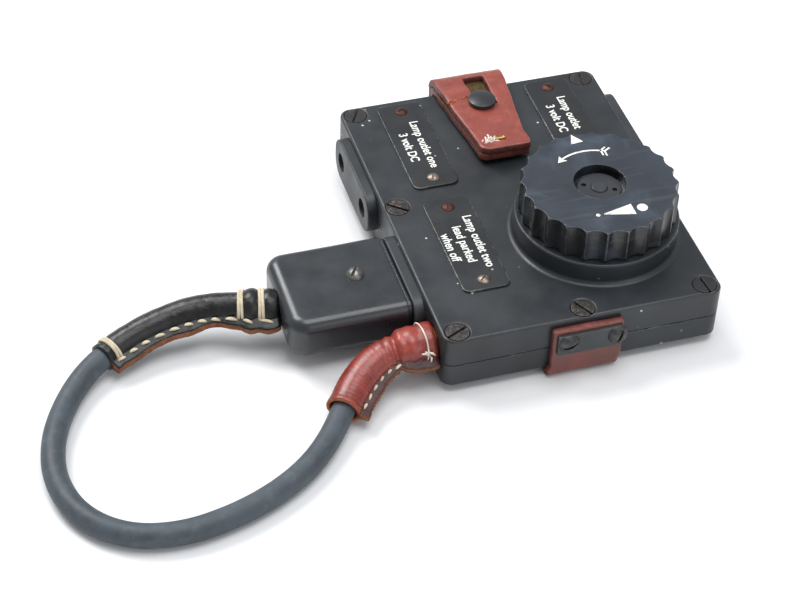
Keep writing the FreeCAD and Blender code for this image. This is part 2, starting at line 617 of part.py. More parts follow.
def strap_band():
    """The strap from the front tab, under the case and up the back, where it is doubled."""
    x0, x1 = STRAP_X - STRAP_W / 2, STRAP_X + STRAP_W / 2
    front = box(x0, x1, FRONT_Y - STRAP_T, FRONT_Y, 0, STRAP_TOP_Z)
    back_y = BACK_Y + BACK_GAP
    under = box(x0, x1, FRONT_Y - STRAP_T, back_y + FLAP_T, 0, STRAP_T)
    back = box(x0, x1, back_y, back_y + FLAP_T, 0, CASE_Z1 - 0.3)
    solid = front.fuse([under, back]).removeSplitter()
    outer = [e for e in solid.Edges if e.BoundBox.XLength > STRAP_W - 0.1 and e.BoundBox.ZMax < 0.01
             and (e.BoundBox.YMin > back_y or e.BoundBox.YMax < FRONT_Y)]
    solid = solid.makeFillet(1.5, outer)
    return solid.cut([cyl(CLAMP_SHANK_R + 0.05, 6, (x, FRONT_Y - 4, CLAMP_SCREW_Z), Y_AXIS)
                      for x in CLAMP_SCREW_X])


def strap_flap():
    """The doubled, tapered end on top of the case, with a keyhole that goes over the stud."""
    back_y = BACK_Y + BACK_GAP
    back_half, end_half = STRAP_W / 2 + 0.6, STRAP_END_W / 2
    outline = [(STRAP_X - back_half, back_y), (STRAP_X - end_half - 0.4, FLAP_FRONT_Y + 1.5),
               (STRAP_X - end_half + 1.0, FLAP_FRONT_Y), (STRAP_X + end_half - 1.0, FLAP_FRONT_Y),
               (STRAP_X + end_half + 0.4, FLAP_FRONT_Y + 1.5), (STRAP_X + back_half, back_y)]
    solid = prism(outline, FLAP_Z0, FLAP_Z0 + FLAP_T)
    hole = cyl(STUD_NECK_R + 0.7, FLAP_T + 2, (STUD_X, STUD_Y, FLAP_Z0 - 1))
    slit = box(STUD_X - 2.2, STUD_X + 1.9, STUD_Y, STUD_Y + 9.8, FLAP_Z0 - 1, FLAP_Z0 + FLAP_T + 1)
    return solid.cut([hole, slit])


def strap_clamp_plate():
    y0 = FRONT_Y - STRAP_T - CLAMP_T
    plate = box(STRAP_X - 8.2, STRAP_X + 8.6, y0, y0 + CLAMP_T, 8.5, 14.4)
    along = [e for e in plate.Edges if abs(e.tangentAt(e.FirstParameter).y) > 0.99]
    plate = plate.makeFillet(0.5, along)
    return plate.cut([cyl(CLAMP_SHANK_R + 0.05, 3, (x, y0 - 1, CLAMP_SCREW_Z), Y_AXIS)
                      for x in CLAMP_SCREW_X])


def strap_clamp_screws():
    y = FRONT_Y - STRAP_T - CLAMP_T
    return group([domed_screw((x, y, CLAMP_SCREW_Z), Y_AXIS * -1, 2.7, 1.5, CLAMP_SHANK_R, 7.0, a)
                  for x, a in zip(CLAMP_SCREW_X, (15, 70))])


def strap_stud():
    head_z = FLAP_Z0 + FLAP_T + 0.3
    neck = cyl(STUD_NECK_R, head_z - CASE_Z1 + 0.2, (STUD_X, STUD_Y, CASE_Z1))
    shank = cyl(STUD_SHANK_R, 5.0, (STUD_X, STUD_Y, CASE_Z1 - 5.0))
    disc = cyl(STUD_HEAD_R, 0.9, (STUD_X, STUD_Y, head_z))
    dome_r = 12.0
    dome = Part.makeSphere(dome_r, V(STUD_X, STUD_Y, head_z + 1.7 - dome_r)).common(
        cyl(STUD_HEAD_R, 4, (STUD_X, STUD_Y, head_z + 0.5)))
    return shank.fuse([neck, disc, dome]).removeSplitter()


def stud_nut():
    return hex_nut((STUD_X, STUD_Y, CASE_Z1 - PLATE_T - 2.2), 5.5, 2.2, STUD_SHANK_R + CLEAR)


# ---- the plug ---------------------------------------------------------------------------------
PLUG_FACE_X = -FACE_X - 0.2
PLUG_W, PLUG_H = 28.4, 11.4
PLUG_Y = FRONT_SOCKET_Y + 0.6                 # the hood stands out a little more to the rear
HOOD_X = (-69.4, PLUG_FACE_X - 0.9)
PLUG_SCREW_X, PLUG_SCREW_Y = -49.4, -15.6
NOSE_Y = CABLE_ROUTE[-1][1]
NOSE_Z = CABLE_ROUTE[-1][2]


def plug_block(x0, x1, trim, radius):
    """A rounded bar with the plug's section, trimmed all round by trim."""
    solid = box(x0, x1, PLUG_Y - PLUG_W / 2 + trim, PLUG_Y + PLUG_W / 2 - trim,
                SOCKET_Z - PLUG_H / 2 + trim, SOCKET_Z + PLUG_H / 2 - trim)
    along = [e for e in solid.Edges if abs(e.tangentAt(e.FirstParameter).x) > 0.99]
    return solid.makeFillet(radius, along)


def plug_hood():
    x0, x1 = HOOD_X
    solid = box(x0, x1, PLUG_Y - PLUG_W / 2, PLUG_Y + PLUG_W / 2,
                SOCKET_Z - PLUG_H / 2, SOCKET_Z + PLUG_H / 2)
    upright = [e for e in edges_at_x(solid, x0) if abs(e.tangentAt(e.FirstParameter).z) > 0.99]
    solid = solid.makeFillet(4.6, upright)
    rims = [e for e in solid.Edges if abs(e.tangentAt(e.FirstParameter).z) < 0.01
            and e.CenterOfMass.x < x1 - 0.5]
    solid = solid.makeFillet(3.0, rims)
    cavity = plug_block(x0 + 2.0, x1 + 1, 1.8, 1.5)
    hole = cyl(BLACK_SLEEVE_R + 0.3, 4, (x0 - 1, NOSE_Y, NOSE_Z), X_AXIS)
    screw_hole = cyl(1.5, 4, (PLUG_SCREW_X, PLUG_SCREW_Y, SOCKET_Z + PLUG_H / 2 - 3))
    return solid.cut([cavity, hole, screw_hole])


def plug_insert():
    flange = plug_block(HOOD_X[1], PLUG_FACE_X, 0.35, 2.7)
    block = plug_block(-53.0, HOOD_X[1], 1.85, 1.4)
    solid = flange.fuse(block).removeSplitter()
    holes = [cyl(PIN_R + CLEAR, 30, (-60, y, SOCKET_Z), X_AXIS) for y in contact_places(FRONT_SOCKET_Y)]
    holes.append(cyl(1.3 + CLEAR, 8, (PLUG_SCREW_X, PLUG_SCREW_Y, SOCKET_Z - 1)))
    return solid.cut(holes)


def plug_pins():
    """Split pins with rounded tips."""
    pins = []
    tip = PLUG_FACE_X + 12.0
    for y in contact_places(FRONT_SOCKET_Y):
        pin = cyl(PIN_R, tip + 54.0, (-54.0, y, SOCKET_Z), X_AXIS)
        pin = pin.makeFillet(1.2, edges_at_x(pin, tip))
        pins.append(pin.cut(box(tip - 9, tip + 1, y - 3, y + 3, SOCKET_Z - 0.3, SOCKET_Z + 0.3)))
    return group(pins)


def plug_screw():
    return domed_screw((PLUG_SCREW_X, PLUG_SCREW_Y, SOCKET_Z + PLUG_H / 2), Z_AXIS, 2.4, 1.6, 1.3, 6.0, 50)


def plug_cores():
    end_x = CABLE_ROUTE[-1][0]
    cores = []
    for side, pin_y in zip((-1, 1), contact_places(FRONT_SOCKET_Y)):
        y = NOSE_Y + side * CORE_OFFSET
        cores.append(lead([(end_x, y, NOSE_Z), (end_x + 2.0, y, NOSE_Z), (-56.3, pin_y, SOCKET_Z),
                           (-54.1, pin_y, SOCKET_Z)], CORE_R))
    return group(cores)


# ---- the lead and its leather sleeves ---------------------------------------------------------
def cable():
    route = Route(CABLE_ROUTE)
    print("cable radii", [round(r, 1) for r in route.radii()], "length",
          round(sum(e.Length for e in route.edges()), 1))
    return tube(route.edges(), CABLE_R)


def red_sleeve():
    """A stitched leather sleeve, wide over the gland's nipple and close on the cable."""
    edges = Route(CABLE_ROUTE).edges(*RED_SLEEVE_RUNS)
    wide_x, end_x = NIPPLE_END_X - 0.6, -SIDE_X - 0.05
    outer = tube(edges, RED_SLEEVE_R).fuse(
        cyl(NIPPLE_R + CLEAR + WIDE_WALL, end_x - wide_x, (wide_x, GLAND_Y, GLAND_Z), X_AXIS))
    inner = tube(edges, SLEEVE_BORE_R)
    nipple_space = cyl(NIPPLE_R + CLEAR, end_x - wide_x, (wide_x + 0.6, GLAND_Y, GLAND_Z), X_AXIS)
    inside_case = box(end_x, end_x + 10, GLAND_Y - 8, GLAND_Y + 8, 0, 20)
    return outer.cut([inner, nipple_space, inside_case])


def red_sleeve_binding():
    """One turn of string round the wide end."""
    at = V(-38.6, GLAND_Y, GLAND_Z)
    return Part.makeTorus(NIPPLE_R + WIDE_WALL + TWINE_R + 2 * CLEAR, TWINE_R, at, X_AXIS)


def black_sleeve():
    edges = Route(CABLE_ROUTE).edges(*BLACK_SLEEVE_RUNS)
    inside_plug = box(HOOD_X[0] + 2.2, -50, NOSE_Y - 8, NOSE_Y + 8, 0, 20)
    return tube(edges, BLACK_SLEEVE_R).cut([tube(edges, SLEEVE_BORE_R), inside_plug])


def black_sleeve_bindings():
    """Three whippings of two turns of twine."""
    edges = Route(CABLE_ROUTE).edges(*BLACK_SLEEVE_RUNS)
    turns = []
    for start in (2.0, 37.0, 41.6):
        for extra in (0.0, 2.2 * TWINE_R):
            at, along = place_along(edges, start + extra)
            turns.append(Part.makeTorus(BLACK_SLEEVE_R + TWINE_R + CLEAR, TWINE_R, at, along))
    return group(turns)


# ---- build ------------------------------------------------------------------------------------
def main():
    os.makedirs(OUT, exist_ok=True)
    makers = [
        case_top, case_base, case_gasket, case_screws, contact_nuts, gland_bush, cable_cores,
        terminal_block, terminal_screws, inner_leads, rheostat_base, rheostat_pillars,
        rheostat_screws, rheostat_former, rheostat_winding, spindle_bush, bush_nut, stop_pin,
        strap_band, strap_flap, strap_clamp_plate, strap_clamp_screws, strap_stud, stud_nut, knob,
        knob_nut, spindle, wiper_hub, wiper_arm, wiper_brush, wiper_collar, circlip, plug_hood,
        plug_insert, plug_pins, plug_screw, plug_cores, cable, red_sleeve, red_sleeve_binding,
        black_sleeve, black_sleeve_bindings]
    for make in makers:
        save(make.__name__, make())
    save("label_screws_rear", label_screws(1, (20, 75, 130)))
    save("label_screws_front", label_screws(-1, (65, 35, 100)))
    for name, x, y in label_sites():
        save("label_plate_" + name, label_plate(x, y))
    for name, side, y in socket_sites():
        save("socket_" + name, socket_body(side, y))
        save("contacts_" + name, socket_contacts(side, y))


main()
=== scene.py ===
"""The looks of the illumination control box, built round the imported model.

Every length is in metres in the model's frame: X right, Y to the back, Z up, Z = 0 on the table.
"""
import math

import bmesh
import bpy
from mathutils import Matrix, Vector, noise


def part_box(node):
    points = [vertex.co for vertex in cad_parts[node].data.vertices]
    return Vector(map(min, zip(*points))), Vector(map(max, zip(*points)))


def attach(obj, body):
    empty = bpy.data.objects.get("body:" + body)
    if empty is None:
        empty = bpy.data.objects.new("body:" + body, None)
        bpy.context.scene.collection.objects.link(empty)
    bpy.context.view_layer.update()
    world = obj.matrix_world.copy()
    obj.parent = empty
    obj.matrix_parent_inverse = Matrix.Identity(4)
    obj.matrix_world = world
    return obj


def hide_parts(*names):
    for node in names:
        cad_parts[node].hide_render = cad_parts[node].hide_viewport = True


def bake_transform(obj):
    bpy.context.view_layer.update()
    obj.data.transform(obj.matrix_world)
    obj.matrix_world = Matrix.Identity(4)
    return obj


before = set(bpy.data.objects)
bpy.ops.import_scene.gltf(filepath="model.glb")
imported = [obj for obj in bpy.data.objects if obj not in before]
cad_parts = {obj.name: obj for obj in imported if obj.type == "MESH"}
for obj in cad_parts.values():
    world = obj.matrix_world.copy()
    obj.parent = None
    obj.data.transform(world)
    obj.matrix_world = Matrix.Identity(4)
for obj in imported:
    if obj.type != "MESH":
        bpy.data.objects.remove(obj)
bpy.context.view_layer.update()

MM = 0.001
scene = bpy.context.scene

# ---- driving dimensions ------------------------------------------------------------------------
KNOB_LOW, KNOB_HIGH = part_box("knob")
BAND_LOW, BAND_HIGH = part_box("strap_band")
KNOB_CENTRE = (KNOB_LOW + KNOB_HIGH) / 2
CABLE_R = 2.9 * MM
GLAND_Y = -37.5
GLAND_Z = 9.5

# The lead's route, from the gland round the loop into the plug, in millimetres.
CABLE_ROUTE = [
    (-34.5, GLAND_Y, GLAND_Z), (-42.6, GLAND_Y, GLAND_Z), (-50.0, -38.4, 8.3), (-56.0, -42.2, 6.4),
    (-61.2, -48.3, 4.7), (-66.6, -55.9, 3.6), (-73.6, -63.2, 3.2), (-82.6, -69.1, 3.13), (-94.0, -73.6, 3.13),
    (-107.0, -75.8, 3.13), (-119.2, -73.1, 3.13), (-128.1, -64.6, 3.13), (-131.6, -52.7, 3.13),
    (-130.0, -40.0, 3.13), (-124.6, -28.3, 3.2), (-116.9, -19.0, 4.1), (-107.0, -13.4, 5.5),
    (-96.5, -10.7, 7.1), (-87.0, -10.4, 8.4), (-78.2, -13.0, 9.3), (-69.5, -16.0, 9.5),
    (-61.0, -16.0, 9.5)]


# ---- camera ------------------------------------------------------------------------------------
def make_camera():
    """A long lens, from the front and a little to the left, 43 degrees above the table."""
    data = bpy.data.cameras.new("view")
    data.lens, data.sensor_width = 97.9, 36.0
    forward = Vector((0.2365, 0.6939, -0.6801)).normalized()
    level = forward.cross(Vector((0, 0, 1))).normalized()
    right = Matrix.Rotation(math.radians(-2.39), 3, forward) @ level
    up = right.cross(forward)
    camera = bpy.data.objects.new("view", data)
    turn = Matrix((right, up, -forward)).transposed().to_4x4()
    camera.matrix_world = Matrix.Translation(Vector((-0.1665, -0.3944, 0.3752))) @ turn
    scene.collection.objects.link(camera)
    scene.camera = camera


make_camera()


# ---- mesh tools --------------------------------------------------------------------------------
def mesh_piece(name, verts, faces, material, smooth=True):
    mesh = bpy.data.meshes.new(name)
    mesh.from_pydata([tuple(v) for v in verts], [], faces)
    mesh.update()
    if smooth:
        mesh.shade_smooth()
    piece = bpy.data.objects.new(name, mesh)
    scene.collection.objects.link(piece)
    for m in material if isinstance(material, list) else [material]:
        mesh.materials.append(m)
    return piece


def smooth_path(points, name="route"):
    """Evenly read points of the NURBS line that has these control points."""
    curve = bpy.data.curves.new(name, "CURVE")
    curve.dimensions = "3D"
    curve.resolution_u = 16
    spline = curve.splines.new("NURBS")
    spline.points.add(len(points) - 1)
    for p, co in zip(spline.points, points):
        p.co = (*co, 1.0)
    spline.order_u = 3
    spline.use_endpoint_u = True
    carrier = bpy.data.objects.new(name, curve)
    scene.collection.objects.link(carrier)
    bpy.context.view_layer.update()
    mesh = bpy.data.meshes.new_from_object(carrier.evaluated_get(bpy.context.evaluated_depsgraph_get()))
    line = [v.co.copy() for v in mesh.vertices]
    bpy.data.objects.remove(carrier)
    bpy.data.meshes.remove(mesh)
    return line


def lengths_along(line):
    total = [0.0]
    for a, b in zip(line, line[1:]):
        total.append(total[-1] + (b - a).length)
    return total


def frames_along(line):
    """(point, side, up) along a line that never runs upright; up leans to the sky."""
    made = []
    for i, p in enumerate(line):
        tangent = (line[min(i + 1, len(line) - 1)] - line[max(i - 1, 0)]).normalized()
        side = tangent.cross(Vector((0, 0, 1))).normalized()
        made.append((p, side, side.cross(tangent)))
    return made


def tube(name, line, radius, material, segments=24, closed_ends=True):
    """A tube along the line; radius is a function of (share of length, angle) or a number."""
    verts, faces = [], []
    rings = frames_along(line)
    for i, (p, side, up) in enumerate(rings):
        for j in range(segments):
            a = 2 * math.pi * j / segments
            r = radius(i / (len(rings) - 1), a) if callable(radius) else radius
            verts.append(p + side * (r * math.cos(a)) + up * (r * math.sin(a)))
    for i in range(len(rings) - 1):
        for j in range(segments):
            k = (j + 1) % segments
            faces.append((i * segments + j, i * segments + k, (i + 1) * segments + k, (i + 1) * segments + j))
    if closed_ends:
        faces.append(tuple(reversed(range(segments))))
        faces.append(tuple((len(rings) - 1) * segments + j for j in range(segments)))
    piece = mesh_piece(name, verts, faces, material)
    around = piece.data.attributes.new("around", "FLOAT", "POINT")     # for the rubber's drawing marks
    around.data.foreach_set("value", [j / segments for _ in rings for j in range(segments)])
    return piece


# ---- materials ---------------------------------------------------------------------------------
class Nodes:
    """A short way to build a node tree."""

    def __init__(self, name):
        self.material = bpy.data.materials.new(name)
        self.material.use_nodes = True
        self.tree = self.material.node_tree
        self.shader = self.tree.nodes["Principled BSDF"]

    def add(self, kind, inputs=None, **values):
        node = self.tree.nodes.new("ShaderNode" + kind)
        for key, value in values.items():
            setattr(node, key, value)
        for key, value in (inputs or {}).items():
            if isinstance(value, bpy.types.NodeSocket):
                self.tree.links.new(value, node.inputs[key])
            else:
                node.inputs[key].default_value = value
        return node

    def set(self, **inputs):
        for key, value in inputs.items():
            target = self.shader.inputs[key.replace("_", " ")]
            if isinstance(value, bpy.types.NodeSocket):
                self.tree.links.new(value, target)
            else:
                target.default_value = value

    def place(self):
        """Object coordinates: every piece has its origin at the frame's origin."""
        return self.add("TexCoord").outputs["Object"]

    def noise(self, scale, detail=4.0, roughness=0.55, at=None, stretch=(1, 1, 1), distortion=0.0):
        mapped = self.add("Mapping", {"Vector": at or self.place(), "Scale": stretch})
        return self.add("TexNoise", {"Vector": mapped.outputs[0], "Scale": scale, "Detail": detail,
                                     "Roughness": roughness, "Distortion": distortion}).outputs["Fac"]

    def ramp(self, value, low, high, out_low=0.0, out_high=1.0):
        node = self.add("MapRange", {"Value": value, "From Min": low, "From Max": high, "To Min": out_low,
                                     "To Max": out_high}, clamp=True)
        return node.outputs[0]

    def math(self, operation, a, b=0.0):
        return self.add("Math", {0: a, 1: b}, operation=operation, use_clamp=True).outputs[0]

    def mix(self, factor, a, b):
        a, b = [(*c, 1.0) if isinstance(c, tuple) and len(c) == 3 else c for c in (a, b)]
        node = self.tree.nodes.new("ShaderNodeMix")
        node.data_type = "RGBA"
        for index, value in ((0, factor), (6, a), (7, b)):
            if isinstance(value, bpy.types.NodeSocket):
                self.tree.links.new(value, node.inputs[index])
            else:
                node.inputs[index].default_value = value
        return node.outputs[2]

    def bump(self, height, strength, distance, normal=None):
        inputs = {"Height": height, "Strength": strength, "Distance": distance}
        if normal:
            inputs["Normal"] = normal
        return self.add("Bump", inputs).outputs[0]

    def edge(self, radius, low=0.02, high=0.12):
        """1 on sharp edges, 0 elsewhere, from how far a rounded normal leans from the true one."""
        rounded = self.add("Bevel", {"Radius": radius}, samples=6)
        flat = self.add("NewGeometry").outputs["Normal"]
        dot = self.add("VectorMath", {0: rounded.outputs[0], 1: flat}, operation="DOT_PRODUCT")
        lean = self.math("SUBTRACT", 1.0, dot.outputs["Value"])
        return self.ramp(lean, low, high), rounded.outputs[0]


def srgb(r, g, b):
    """A linear colour from 0..255 display values."""
    return tuple((c / 255 / 12.92) if c <= 10 else ((c / 255 + 0.055) / 1.055) ** 2.4 for c in (r, g, b))


def worn_coating(name, base, dark, worn, roughness, wear=0.5, edge_radius=0.45, specks=0.0, coat=0.0,
                 smear=0.0, relief=0.05, painted_side_shade=None):
    """Paint or moulding with soft variation, rubbed pale edges, dust specks and handling marks; optionally
    painted shade that darkens upright faces.
    """
    n = Nodes(name)
    cloud = n.noise(55, 5)
    color = n.mix(n.ramp(cloud, 0.35, 0.7), dark, base)
    # Painted shade: faces that stand upright take a darker colour, standing in for the shade that falls on
    # the sides.
    if painted_side_shade:
        upright = n.add("SeparateXYZ", {0: n.add("NewGeometry").outputs["True Normal"]}).outputs[2]
        color = n.mix(n.ramp(upright, 0.5, 0.2), color, painted_side_shade)
    edge, rounded = n.edge(edge_radius * MM)
    broken = n.ramp(n.noise(420, 6, 0.7), 0.42, 0.62)
    patch = n.ramp(n.noise(60, 3), 0.38, 0.6)
    worn_mask = n.math("MULTIPLY", n.math("MULTIPLY", edge, broken), patch)
    worn_mask = n.math("MULTIPLY", worn_mask, wear)
    color = n.mix(worn_mask, color, worn)
    rough = n.ramp(n.noise(140, 5), 0.3, 0.75, roughness - 0.08, roughness + 0.1)
    if specks:
        dots = n.add("TexVoronoi", {"Vector": n.place(), "Scale": 420.0, "Randomness": 1.0})
        dot = n.math("MULTIPLY", n.ramp(dots.outputs["Distance"], 0.16, 0.08),
                     n.ramp(n.noise(60, 2), 0.54, 0.6))
        rare = n.ramp(n.add("SeparateColor", {"Color": dots.outputs["Color"]}).outputs[0], 0.72, 0.76)
        dot = n.math("MULTIPLY", n.math("MULTIPLY", dot, rare), specks)
        color = n.mix(dot, color, (0.55, 0.55, 0.53))
    if smear:
        streak = n.noise(75, 4, 0.5, distortion=0.5)
        lines = n.ramp(n.noise(700, 2, 0.5, stretch=(0.08, 1, 1), distortion=0.4), 0.58, 0.72)
        haze = n.math("MULTIPLY", n.ramp(streak, 0.52, 0.72), smear)
        color = n.mix(n.math("MULTIPLY", haze, 0.3), color, srgb(84, 106, 128))
        color = n.mix(n.math("MULTIPLY", lines, 0.07 * smear), color, worn)
        rough = n.math("ADD", rough, n.math("MULTIPLY", haze, 0.25))
    grain = n.noise(1500, 4, 0.6)
    normal = n.bump(grain, relief, 0.15 * MM, rounded)
    n.set(Base_Color=color, Roughness=rough, Normal=normal, Specular_IOR_Level=0.5, Coat_Weight=coat,
          Coat_Roughness=0.12)
    return n.material


def metal(name, color, dark, roughness, grime=0.5, painted=False):
    n = Nodes(name)
    dirt = n.ramp(n.noise(500, 5, 0.65), 0.42, 0.66)
    if painted:
        covered = n.ramp(n.noise(31, 1), 0.44, 0.56)
        dirt = n.math("MAXIMUM", n.ramp(n.noise(900, 5, 0.7), 0.36, 0.5), covered)
    edge, rounded = n.edge(0.2 * MM)
    tone = n.mix(n.math("MULTIPLY", dirt, grime), color, dark)
    tone = n.mix(n.math("MULTIPLY", edge, 0.5), tone, color)
    rough = n.ramp(n.noise(700, 3), 0.3, 0.7, roughness - 0.08, roughness + 0.15)
    scratches = n.noise(1600, 3, 0.5, stretch=(0.15, 1, 1))
    n.set(Base_Color=tone, Metallic=n.ramp(dirt, 0, 1, 1.0, 1.0 - 0.6 * grime), Roughness=rough,
          Normal=n.bump(scratches, 0.12, 0.1 * MM, rounded))
    return n.material


def leather(name, base, dark, pale, roughness, coat, pores=900, crease_scale=120, crease_depth=0.25,
            crease_stretch=(1, 1, 1), wear=0.5, mottle=0.25, front_face_tone=None, gloss=0.45):
    """Polished hide: pores, creases, darker handled patches and pale rubbed ridges."""
    n = Nodes(name)
    cloud = n.noise(85, 6, 0.6, distortion=0.6)
    color = n.mix(n.ramp(cloud, 0.34, 0.66), dark, base)
    mottled = n.ramp(n.noise(420, 5, 0.7), 0.4, 0.68)
    color = n.mix(n.math("MULTIPLY", mottled, mottle), color, pale)
    # The front-facing part of the strap, from 45.5 mm to the front, is coloured darker in patches.
    if front_face_tone:
        depth = n.add("SeparateXYZ", {0: n.place()}).outputs[1]
        patchy = n.math("MULTIPLY", n.ramp(depth, -45.5 * MM, -46.3 * MM),
                        n.ramp(n.noise(230, 4), 0.3, 0.6, 0.6, 1.0))
        color = n.mix(patchy, color, front_face_tone)
    creases = n.noise(crease_scale, 6, 0.62, stretch=crease_stretch, distortion=1.1)
    line = n.math("SUBTRACT", 1.0, n.ramp(n.math("ABSOLUTE", n.math("SUBTRACT", creases, 0.5)), 0.0, 0.035))
    color = n.mix(n.math("MULTIPLY", line, 0.4), color, dark)
    edge, rounded = n.edge(0.5 * MM, 0.03, 0.2)
    color = n.mix(n.math("MULTIPLY", n.math("MULTIPLY", edge, n.ramp(n.noise(300, 4), 0.4, 0.6)), wear),
                  color, pale)
    pore = n.add("TexVoronoi", {"Vector": n.place(), "Scale": float(pores), "Randomness": 1.0},
                 feature="DISTANCE_TO_EDGE").outputs["Distance"]
    fine = n.bump(n.ramp(pore, 0.0, 0.35), 0.18, 0.12 * MM, rounded)
    deep = n.bump(creases, crease_depth, 0.9 * MM, fine)
    rough = n.ramp(n.noise(260, 4), 0.3, 0.7, roughness - 0.08, roughness + 0.14)
    n.set(Base_Color=color, Roughness=rough, Normal=deep, Coat_Weight=coat, Coat_Roughness=0.22,
          Specular_IOR_Level=gloss)
    return n.material


def raw_edge(name, base, dark):
    """The fibrous cut edge or flesh side of leather."""
    n = Nodes(name)
    fibre = n.noise(700, 6, 0.7)
    color = n.mix(n.ramp(fibre, 0.3, 0.7), dark, base)
    n.set(Base_Color=color, Roughness=0.85, Normal=n.bump(fibre, 0.5, 0.25 * MM), Specular_IOR_Level=0.2)
    return n.material


def thread(name, base, dark):
    n = Nodes(name)
    twist = n.add("TexWave", {"Vector": n.place(), "Scale": 700.0, "Distortion": 2.0, "Detail": 2.0})
    dirt = n.ramp(n.noise(350, 5), 0.45, 0.7)
    color = n.mix(n.math("MULTIPLY", dirt, 0.55), base, dark)
    n.set(Base_Color=color, Roughness=0.8, Normal=n.bump(twist.outputs["Fac"], 0.4, 0.15 * MM))
    return n.material


def rubber(name, base, dark, pale):
    """Old cable rubber: dull, with faint lengthwise drawing marks and chalky rubs."""
    n = Nodes(name)
    around = n.add("Attribute", attribute_name="around").outputs["Fac"]
    lengthwise = n.add("CombineXYZ", {0: around}).outputs[0]
    drawn = n.add("TexNoise", {"Vector": lengthwise, "Scale": 60.0, "Detail": 2.0}).outputs["Fac"]
    cloud = n.noise(90, 5, 0.6)
    color = n.mix(n.ramp(cloud, 0.35, 0.68), dark, base)
    chalk = n.math("MULTIPLY", n.ramp(n.noise(320, 6, 0.72), 0.5, 0.72), 0.35)
    color = n.mix(chalk, color, pale)
    rough = n.ramp(cloud, 0.3, 0.7, 0.5, 0.68)
    relief = n.bump(drawn, 0.12, 0.15 * MM)
    n.set(Base_Color=color, Roughness=rough, Normal=n.bump(n.noise(1400, 3), 0.08, 0.1 * MM, relief))
    return n.material


SLATE, SLATE_DARK, SLATE_WORN = srgb(42, 46, 50), srgb(29, 32, 35), srgb(132, 136, 138)
M = {
    "case": worn_coating("case_paint", SLATE, SLATE_DARK, SLATE_WORN, 0.4, wear=0.8, specks=1.0),
    # The knob's fluted sides get painted shade: their upright faces are coloured near black.
    "knob": worn_coating("knob_moulding", srgb(49, 56, 65), srgb(38, 43, 51), srgb(138, 144, 150), 0.3,
                         wear=0.9, edge_radius=0.3, coat=0.2, smear=0.8, relief=0.02, painted_side_shade=srgb(22, 22, 23)),
    "nut": worn_coating("knob_nut_face", srgb(54, 57, 62), srgb(40, 42, 46), srgb(110, 114, 118), 0.36,
                        wear=0.5, edge_radius=0.2),
    "plug": worn_coating("plug_moulding", srgb(41, 45, 49), srgb(31, 34, 38), srgb(104, 108, 112), 0.33,
                         wear=0.15, edge_radius=0.9, coat=0.22, smear=0.15, relief=0.04),
    "socket": worn_coating("socket_moulding", srgb(48, 52, 56), srgb(36, 39, 42), srgb(120, 122, 122), 0.45,
                           wear=0.4, edge_radius=0.3),
    "label": worn_coating("label_black", srgb(36, 39, 42), srgb(27, 29, 31), srgb(214, 213, 205), 0.36,
                          wear=1.0, edge_radius=0.34, specks=0.6),
    "black_metal": worn_coating("black_metal", srgb(36, 39, 43), srgb(24, 26, 28), srgb(112, 114, 112), 0.3,
                                wear=0.5, edge_radius=0.3, coat=0.2),
    "clamp": worn_coating("clamp_paint", srgb(50, 55, 58), srgb(38, 42, 44), srgb(120, 118, 108), 0.45,
                          wear=0.7, edge_radius=0.25),
    "painted_screw": metal("painted_screw", srgb(128, 112, 98), srgb(40, 43, 46), 0.42, 0.97, True),
    "steel": metal("screw_steel", srgb(150, 136, 122), srgb(44, 38, 34), 0.36, 0.75),
    "dark_steel": metal("blackened_steel", srgb(84, 84, 84), srgb(28, 29, 30), 0.4, 0.8),
    "plug_screw": metal("plug_screw_steel", srgb(128, 126, 122), srgb(34, 34, 35), 0.36, 0.75),
    "sealed": metal("sealed_screw", srgb(92, 60, 54), srgb(48, 30, 28), 0.5, 0.9),
    "brass": metal("brass", srgb(176, 140, 84), srgb(70, 52, 30), 0.35, 0.5),
    "red_leather": leather("strap_leather", srgb(140, 62, 50), srgb(116, 50, 42), srgb(172, 96, 76), 0.38,
                           0.25, crease_depth=0.1, front_face_tone=srgb(96, 54, 46)),
    "red_sleeve": leather("red_sleeve_leather", srgb(156, 56, 44), srgb(104, 32, 28), srgb(186, 92, 68), 0.36,
                          0.3, crease_scale=190, crease_depth=0.35),
    "dark_hide": leather("sleeve_seam_hide", srgb(82, 44, 42), srgb(48, 26, 26), srgb(120, 74, 62), 0.5,
                         0.1, crease_scale=300, crease_depth=0.4),
    "black_leather": leather("black_sleeve_leather", srgb(17, 18, 21), srgb(9, 9, 11), srgb(74, 68, 60), 0.3,
                             0.25, crease_scale=260, crease_depth=0.45, wear=0.5, mottle=0.14, gloss=0.28),
    "orange_edge": raw_edge("cut_edge_orange", srgb(196, 116, 76), srgb(134, 66, 44)),
    "brown_edge": raw_edge("cut_edge_brown", srgb(150, 98, 70), srgb(92, 56, 40)),
    "olive": raw_edge("flesh_side", srgb(92, 76, 46), srgb(52, 40, 26)),
    "thread": thread("waxed_thread", srgb(206, 194, 168), srgb(140, 118, 90)),
    "string": thread("white_string", srgb(224, 214, 204), srgb(158, 140, 124)),
    "rubber": rubber("cable_rubber", srgb(70, 79, 87), srgb(52, 60, 67), srgb(100, 108, 112)),
}


def white_print():
    """Filled white engraving, rubbed thin in places."""
    n = Nodes("white_fill")
    rubbed = n.ramp(n.noise(900, 5, 0.7), 0.3, 0.5)
    n.set(Base_Color=n.mix(rubbed, srgb(150, 150, 146), srgb(232, 232, 226)), Roughness=0.5)
    return n.material


M["white"] = white_print()


